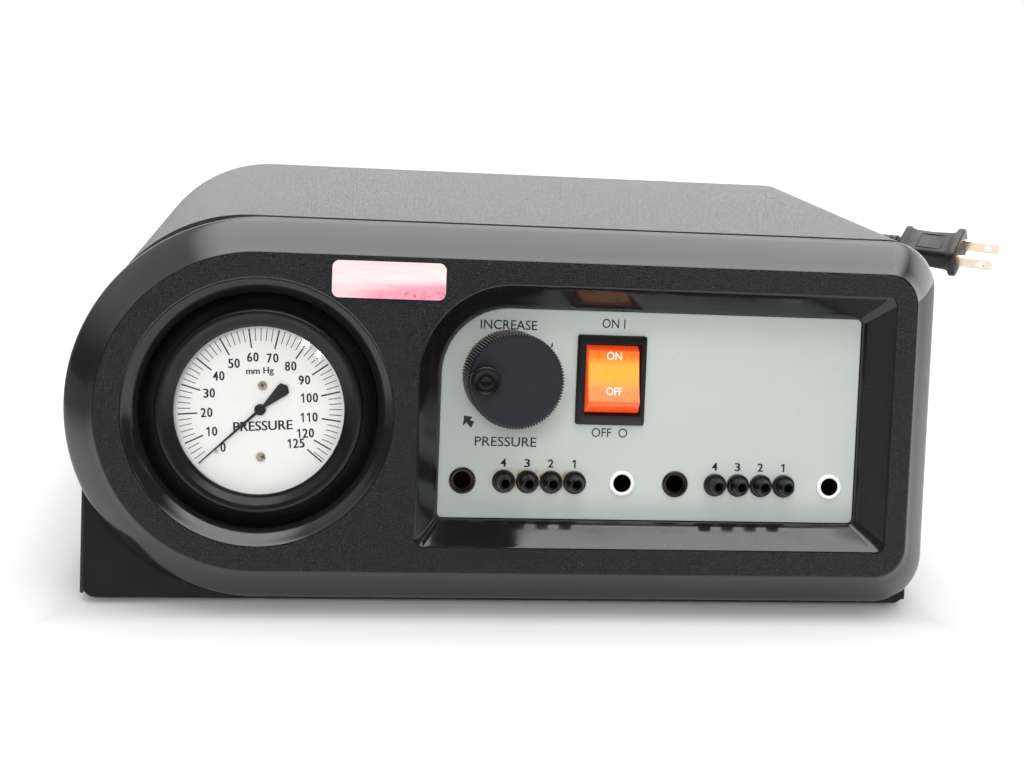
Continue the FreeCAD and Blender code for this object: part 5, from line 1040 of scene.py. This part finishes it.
def add_ring(bm, centre, radius_x, radius_y, width):
    """Printed O: an oval ring."""
    loops = []
    for height in PRINT:
        for grow in (-width / 2, width / 2):
            wide, tall = radius_x + grow, radius_y + grow
            oval = [(centre[0] + wide * x, centre[1] + tall * y) for x, y in circle(1, 48)]
            loops.append(ring_of(bm, oval, height))
    low_in, low_out, high_in, high_out = loops
    for first, second in ((low_in, low_out), (low_out, high_out), (high_out, high_in), (high_in, low_in)):
        bridge(bm, first, second)


def print_panel():
    """Legends of the knob, the switch and the ports, on the grey plate."""
    bm = bmesh.new()
    add_words(bm, "INCREASE", (-3.45, 54.5), 19.7, 3.3, 0.006)
    add_words(bm, "PRESSURE", (-3.1, 13.8), 21.6, 3.35, 0.006)
    add_words(bm, "ON", (32.3, 56.0), 5.9, 3.2, 0.004)
    add_line(bm, (37.3, 54.4), (37.3, 57.6), 0.42)
    add_words(bm, "OFF", (30.6, 17.7), 7.0, 3.2, 0.004)
    add_ring(bm, (38.2, 17.7), 1.35, 1.4, 0.42)
    for group in range(2):
        for i, number in enumerate("4321"):
            u = PORT_START - 0.2 + i * PORT_PITCH + group * GROUP_PITCH
            add_number(bm, number, (u, 6.45), 2.05, 2.9, 0.01)
    # Arrow round the knob: a solid head low on the left, and the tip of its tail high on the right.
    head = [(-17.9, 22.6), (-18.3, 18.9), (-17.1, 20.2), (-15.4, 18.3)]
    add_prism(bm, head + [(-14.3, 20.6), (-15.9, 21.0), (-14.9, 22.2)])
    add_prism(bm, [(11.35, 46.9), (12.3, 47.6), (11.9, 49.1)])
    piece("panel_legends", bm, PANEL, [DARK_INK], sharp=30)


def print_rocker():
    """ON and OFF, each following the dished face of the key."""
    bm = bmesh.new()
    for text, y, width in (("ON", 7.2, 5.3), ("OFF", -5.15, 5.6)):
        slope = math.atan(FACE_DISH * 2 * y / FACE_HALF**2)
        part = bmesh.new()
        add_words(part, text, (0, 0), width, 2.85, 0.008, level=(-0.35, 0.06))
        part.transform(Matrix.Translation((0, y, face_height(y))) @ Matrix.Rotation(slope, 4, "X"))
        mesh = bpy.data.meshes.new("part")
        part.to_mesh(mesh)
        part.free()
        bm.from_mesh(mesh)
        bpy.data.meshes.remove(mesh)
    piece("rocker_words", bm, ROCKER, [WHITE_INK], body="rocker", sharp=30)


# Degrees clockwise from the top: where the reading 0 lies, and how far each mm Hg turns on from there.
DIAL_START, DIAL_STEP = -137.6, 2.137
DIAL_LEAN = 3.5
TICK_OUT, TICK_MAJOR, TICK_MINOR, NUMBER_RADIUS = 27.6, 21.0, 23.3, 17.9
POINTER_ANGLE = 133.0


def dial_point(pressure, radius):
    """Place on the dial at this reading."""
    angle = math.radians(90 - (DIAL_START + DIAL_STEP * pressure))
    return radius * math.cos(angle), radius * math.sin(angle)


def print_dial():
    """Scale from 2 to 125 mm Hg, its numbers and its two words."""
    bm = bmesh.new()
    level = (DIAL_THICK - 0.02, DIAL_THICK + 0.04)
    for pressure in list(range(2, 126, 2)) + [125]:
        major = pressure % 10 == 0 or pressure == 125
        inside = TICK_MAJOR if major else TICK_MINOR
        width = 0.5 if major else 0.26
        add_line(bm, dial_point(pressure, TICK_OUT), dial_point(pressure, inside), width, level)
    nudged = {100: (-1.0, 0), 110: (-1.3, 0), 120: (-0.3, 0.8), 125: (-1.5, 0)}
    for pressure in list(range(0, 121, 10)) + [125]:
        x, y = dial_point(pressure, NUMBER_RADIUS)
        right, up = nudged.get(pressure, (0, 0))
        add_number(bm, str(pressure), (x + right, y + up), 1.82, 3.15, 0.01, DIAL_LEAN, level)
    add_bold(bm, "mm Hg", (-0.4, 12.8), 9.3, 3.0, 0.004, DIAL_LEAN, level)
    add_bold(bm, "PRESSURE", (1.1, -5.6), 20.0, 3.3, 0.006, DIAL_LEAN, level)
    piece("dial_scale", bm, AT_GAUGE, [DARK_INK], sharp=30)


def make_pointer():
    """Needle with a tail that widens to a blunt end, a round boss and its pin."""
    bm = bmesh.new()
    half = [(-27.3, 0.16), (-2.0, 0.5), (1.6, 0.55), (9.9, 2.2), (11.1, 2.15), (12.2, 0.3)]
    outline = [(t, -w) for t, w in half] + [(t, w) for t, w in reversed(half)]
    tilt = math.radians(90 + POINTER_ANGLE)
    cos, sin = math.cos(tilt), math.sin(tilt)
    add_prism(bm, [(w * sin - t * cos, -t * sin - w * cos) for t, w in outline], (1.55, 1.95))
    boss = [(1.9, 1.5), (1.95, 2.05), (1.75, 2.2), (1.3, 2.2), (1.15, 2.02), (0.85, 2.02), (0.75, 2.35)]
    lathe(bm, boss + [(0, 2.4)], 40)
    piece(
        "pointer_blade", bm, AT_GAUGE, [POINTER],
        body="needle", replaces=["gauge_pointer"], sharp=30,
    )


def cut_slots():
    """Painted shade of the cross cuts in the heads of the dial's two screws: thin dark strips laid on the
    heads.
    """
    bm = bmesh.new()
    for u, v, turn in ((0.57, 8.2, 20), (1.39, -16.2, 62)):
        for angle in (turn, turn + 90):
            x, y = 0.95 * math.cos(math.radians(angle)), 0.95 * math.sin(math.radians(angle))
            add_line(bm, (u - x, v - y), (u + x, v + y), 0.3, (2.1, 2.215))
    piece("dial_screw_slot_shade", bm, AT_GAUGE, [TARNISH_AND_SLOT_SHADE], sharp=30)


print_panel()
cut_slots()
print_rocker()
print_dial()
make_pointer()

# --- finishes on the CAD's own pieces ---
FINISHES = [
    (CHASSIS, ["chassis_base"]),
    (COVER, ["top_cover"]),
    (PLATE, ["front_panel"]),
    (LABEL, ["blank_label"]),
    (LENS, ["gauge_lens"]),
    (DIAL, ["gauge_dial"]),
    (DULL_BRASS, ["gauge_dial_screws"]),
    (TARNISH_AND_SLOT_SHADE, ["guide_sleeves"]),
    (GILT, ["plug_blades"]),
    (LAMP, ["switch_lamp"]),
    (TUBING, ["air_hoses"]),
    (CORD, ["mains_wires"]),
    (SATIN, ["fuse_holder", "cord_tie"]),
    (RUBBER, ["rubber_feet", "regulator_diaphragm", "compressor_mounts"]),
    (ALLOY, ["regulator_bonnet", "regulator_body", "compressor_housing", "compressor_heads"]),
    (NATURAL, ["port_manifold", "valve_cover", "valve_body", "valve_rotor", "terminal_block"]),
    (BRASS, ["gauge_pinion", "gauge_sector", "gauge_movement", "gauge_capsule"]),
    (BRASS, ["mounting_nuts", "regulator_spring_seat", "switch_terminals"]),
    (STEEL, ["bezel_screws", "cover_screws", "gauge_case", "gauge_clamp", "knob_set_screw"]),
    (STEEL, ["regulator_spindle", "regulator_spring", "valve_bracket", "gear_motor"]),
    (STEEL, ["compressor_armature", "compressor_springs"]),
]
for material, names in FINISHES:
    for name in names:
        slots = NODES[name].data.materials
        slots.clear()
        slots.append(material)

# --- light, floor and background ---


def make_world():
    """White behind the object. Around it, a studio that is bright above, behind and right."""
    world = bpy.data.worlds.new("studio")
    world.use_nodes = True
    tree = world.node_tree
    direction = add_node(tree, "TexCoord", {}).outputs["Generated"]

    def facing(axis, low, high, dark, bright):
        dot = add_node(tree, "VectorMath", {0: direction, 1: axis}, operation="DOT_PRODUCT")
        return mapped(tree, dot.outputs["Value"], low, high, dark, bright)

    def brightest(level, *others):
        for other in others:
            level = add_node(tree, "Math", {0: level, 1: other}, operation="MAXIMUM").outputs[0]
        return level

    def mixed(share, a, b):
        return add_node(tree, "Mix", {0: share, 2: a, 3: b}).outputs[0]

    soft = brightest(
        facing((0, 0, 1), -0.1, 0.9, 0.25, 1.0),
        facing((1, 0, 0), -0.2, 0.9, 0.25, 0.8),
        facing((0, -1, 0), 0.2, 0.95, 0.25, 0.65),
    )
    # What mirror-like rays see is stronger, and dim on the left and in front.
    mirrored = brightest(
        facing((0.15, 0.20, 0.97), 0.72, 0.92, 0.10, 4.2),
        facing((0, 1, 0), 0.40, 0.92, 0.10, 2.0),
        facing((0.85, 0.50, 0.10), 0.72, 0.95, 0.10, 2.6),
        facing((-0.62, 0.25, 0.74), 0.74, 0.97, 0.10, 0.9),
    )
    path = add_node(tree, "LightPath", {}).outputs
    light = mixed(path["Is Glossy Ray"], soft, mirrored)
    seen = brightest(path["Is Camera Ray"], path["Is Transmission Ray"])
    background = tree.nodes["Background"]
    tree.links.new(mixed(seen, light, 1.0), background.inputs["Strength"])
    background.inputs["Color"].default_value = (1, 1, 1, 1)
    bpy.context.scene.world = world


def make_lamp(name, place, target, size, power, glossy=True):
    data = bpy.data.lights.new(name, "AREA")
    data.shape = "RECTANGLE"
    data.size, data.size_y = size
    data.energy = power
    lamp = link(name, data)
    lamp.location = place
    lamp.rotation_euler = (Vector(target) - Vector(place)).to_track_quat("-Z", "Y").to_euler()
    lamp.visible_glossy = glossy


# Half the width and depth of the footprint round which the floor's glow is cut as a painted shadow, in
# metres.
UNDER_WIDTH, UNDER_DEPTH = 0.147, 0.080


def make_floor():
    """White sweep. The camera sees it glow, so it shows as white and keeps the object's shadow. Near the
    object the glow is cut, a painted shadow.
    """
    finish = Finish("floor_white", (0.7, 0.7, 0.7), 0.9)
    mottle = finish.ramp(finish.noise(6.0, 2.0), 0.3, 0.7)
    tone = finish.blend(mottle, (0.70, 0.70, 0.70), (0.68, 0.68, 0.68))
    # Painted reflection: in the object's gloss only, the floor is white close by and dim on the left.
    far = finish.ramp(finish.axis(0), -0.25, -0.55)
    mirrored = finish.blend(far, (0.92, 0.92, 0.92), (0.25, 0.25, 0.25))
    finish.set("Base Color", finish.blend(finish.source("LightPath", "Is Glossy Ray"), tone, mirrored))
    path = add_node(finish.tree, "LightPath", {}).outputs
    seen = finish.math("MAXIMUM", path["Is Camera Ray"], path["Is Transmission Ray"])
    finish.shader.inputs["Emission Color"].default_value = (1, 1, 1, 1)
    # Painted shadow: the floor's glow fades out round the object's footprint, darkest close by.
    beside = finish.math("SUBTRACT", finish.math("ABSOLUTE", finish.axis(0)), UNDER_WIDTH)
    before = finish.math("SUBTRACT", finish.math("ABSOLUTE", finish.axis(1)), UNDER_DEPTH)
    outside = finish.math("MAXIMUM", beside, before)
    shade = finish.ramp(outside, 0.0, 0.07, 0.12, 0.45)
    painted_contact_shadow = finish.ramp(outside, 0.002, 0.014, 0.08, 1.0)
    glow_less_painted_shadow = finish.math("MULTIPLY", shade, painted_contact_shadow)
    finish.set("Emission Strength", finish.math("MULTIPLY", seen, glow_less_painted_shadow))
    bm = bmesh.new()
    bmesh.ops.create_grid(bm, x_segments=1, y_segments=1, size=6.0)
    mesh = bpy.data.meshes.new("floor")
    bm.to_mesh(mesh)
    bm.free()
    mesh.materials.append(finish.material)
    floor = link("floor", mesh)


make_world()
make_floor()
make_lamp("overhead", (0.05, -0.35, 1.3), (0.0, 0.0, 0.05), (0.9, 0.7), 6.0, glossy=False)
make_lamp("front_fill", (-0.3, -1.4, 0.7), (0.0, 0.0, 0.05), (0.4, 0.4), 9.5, glossy=False)
make_lamp("lens_glint_left", (-0.102, -1.260, 0.237), (-0.073, -0.069, 0.092), (0.007, 0.007), 0.006)
make_lamp("lens_glint_right", (-0.0848, -1.262, 0.225), (-0.068, -0.070, 0.089), (0.007, 0.007), 0.005)

scene = bpy.context.scene
scene.view_settings.view_transform = "Standard"
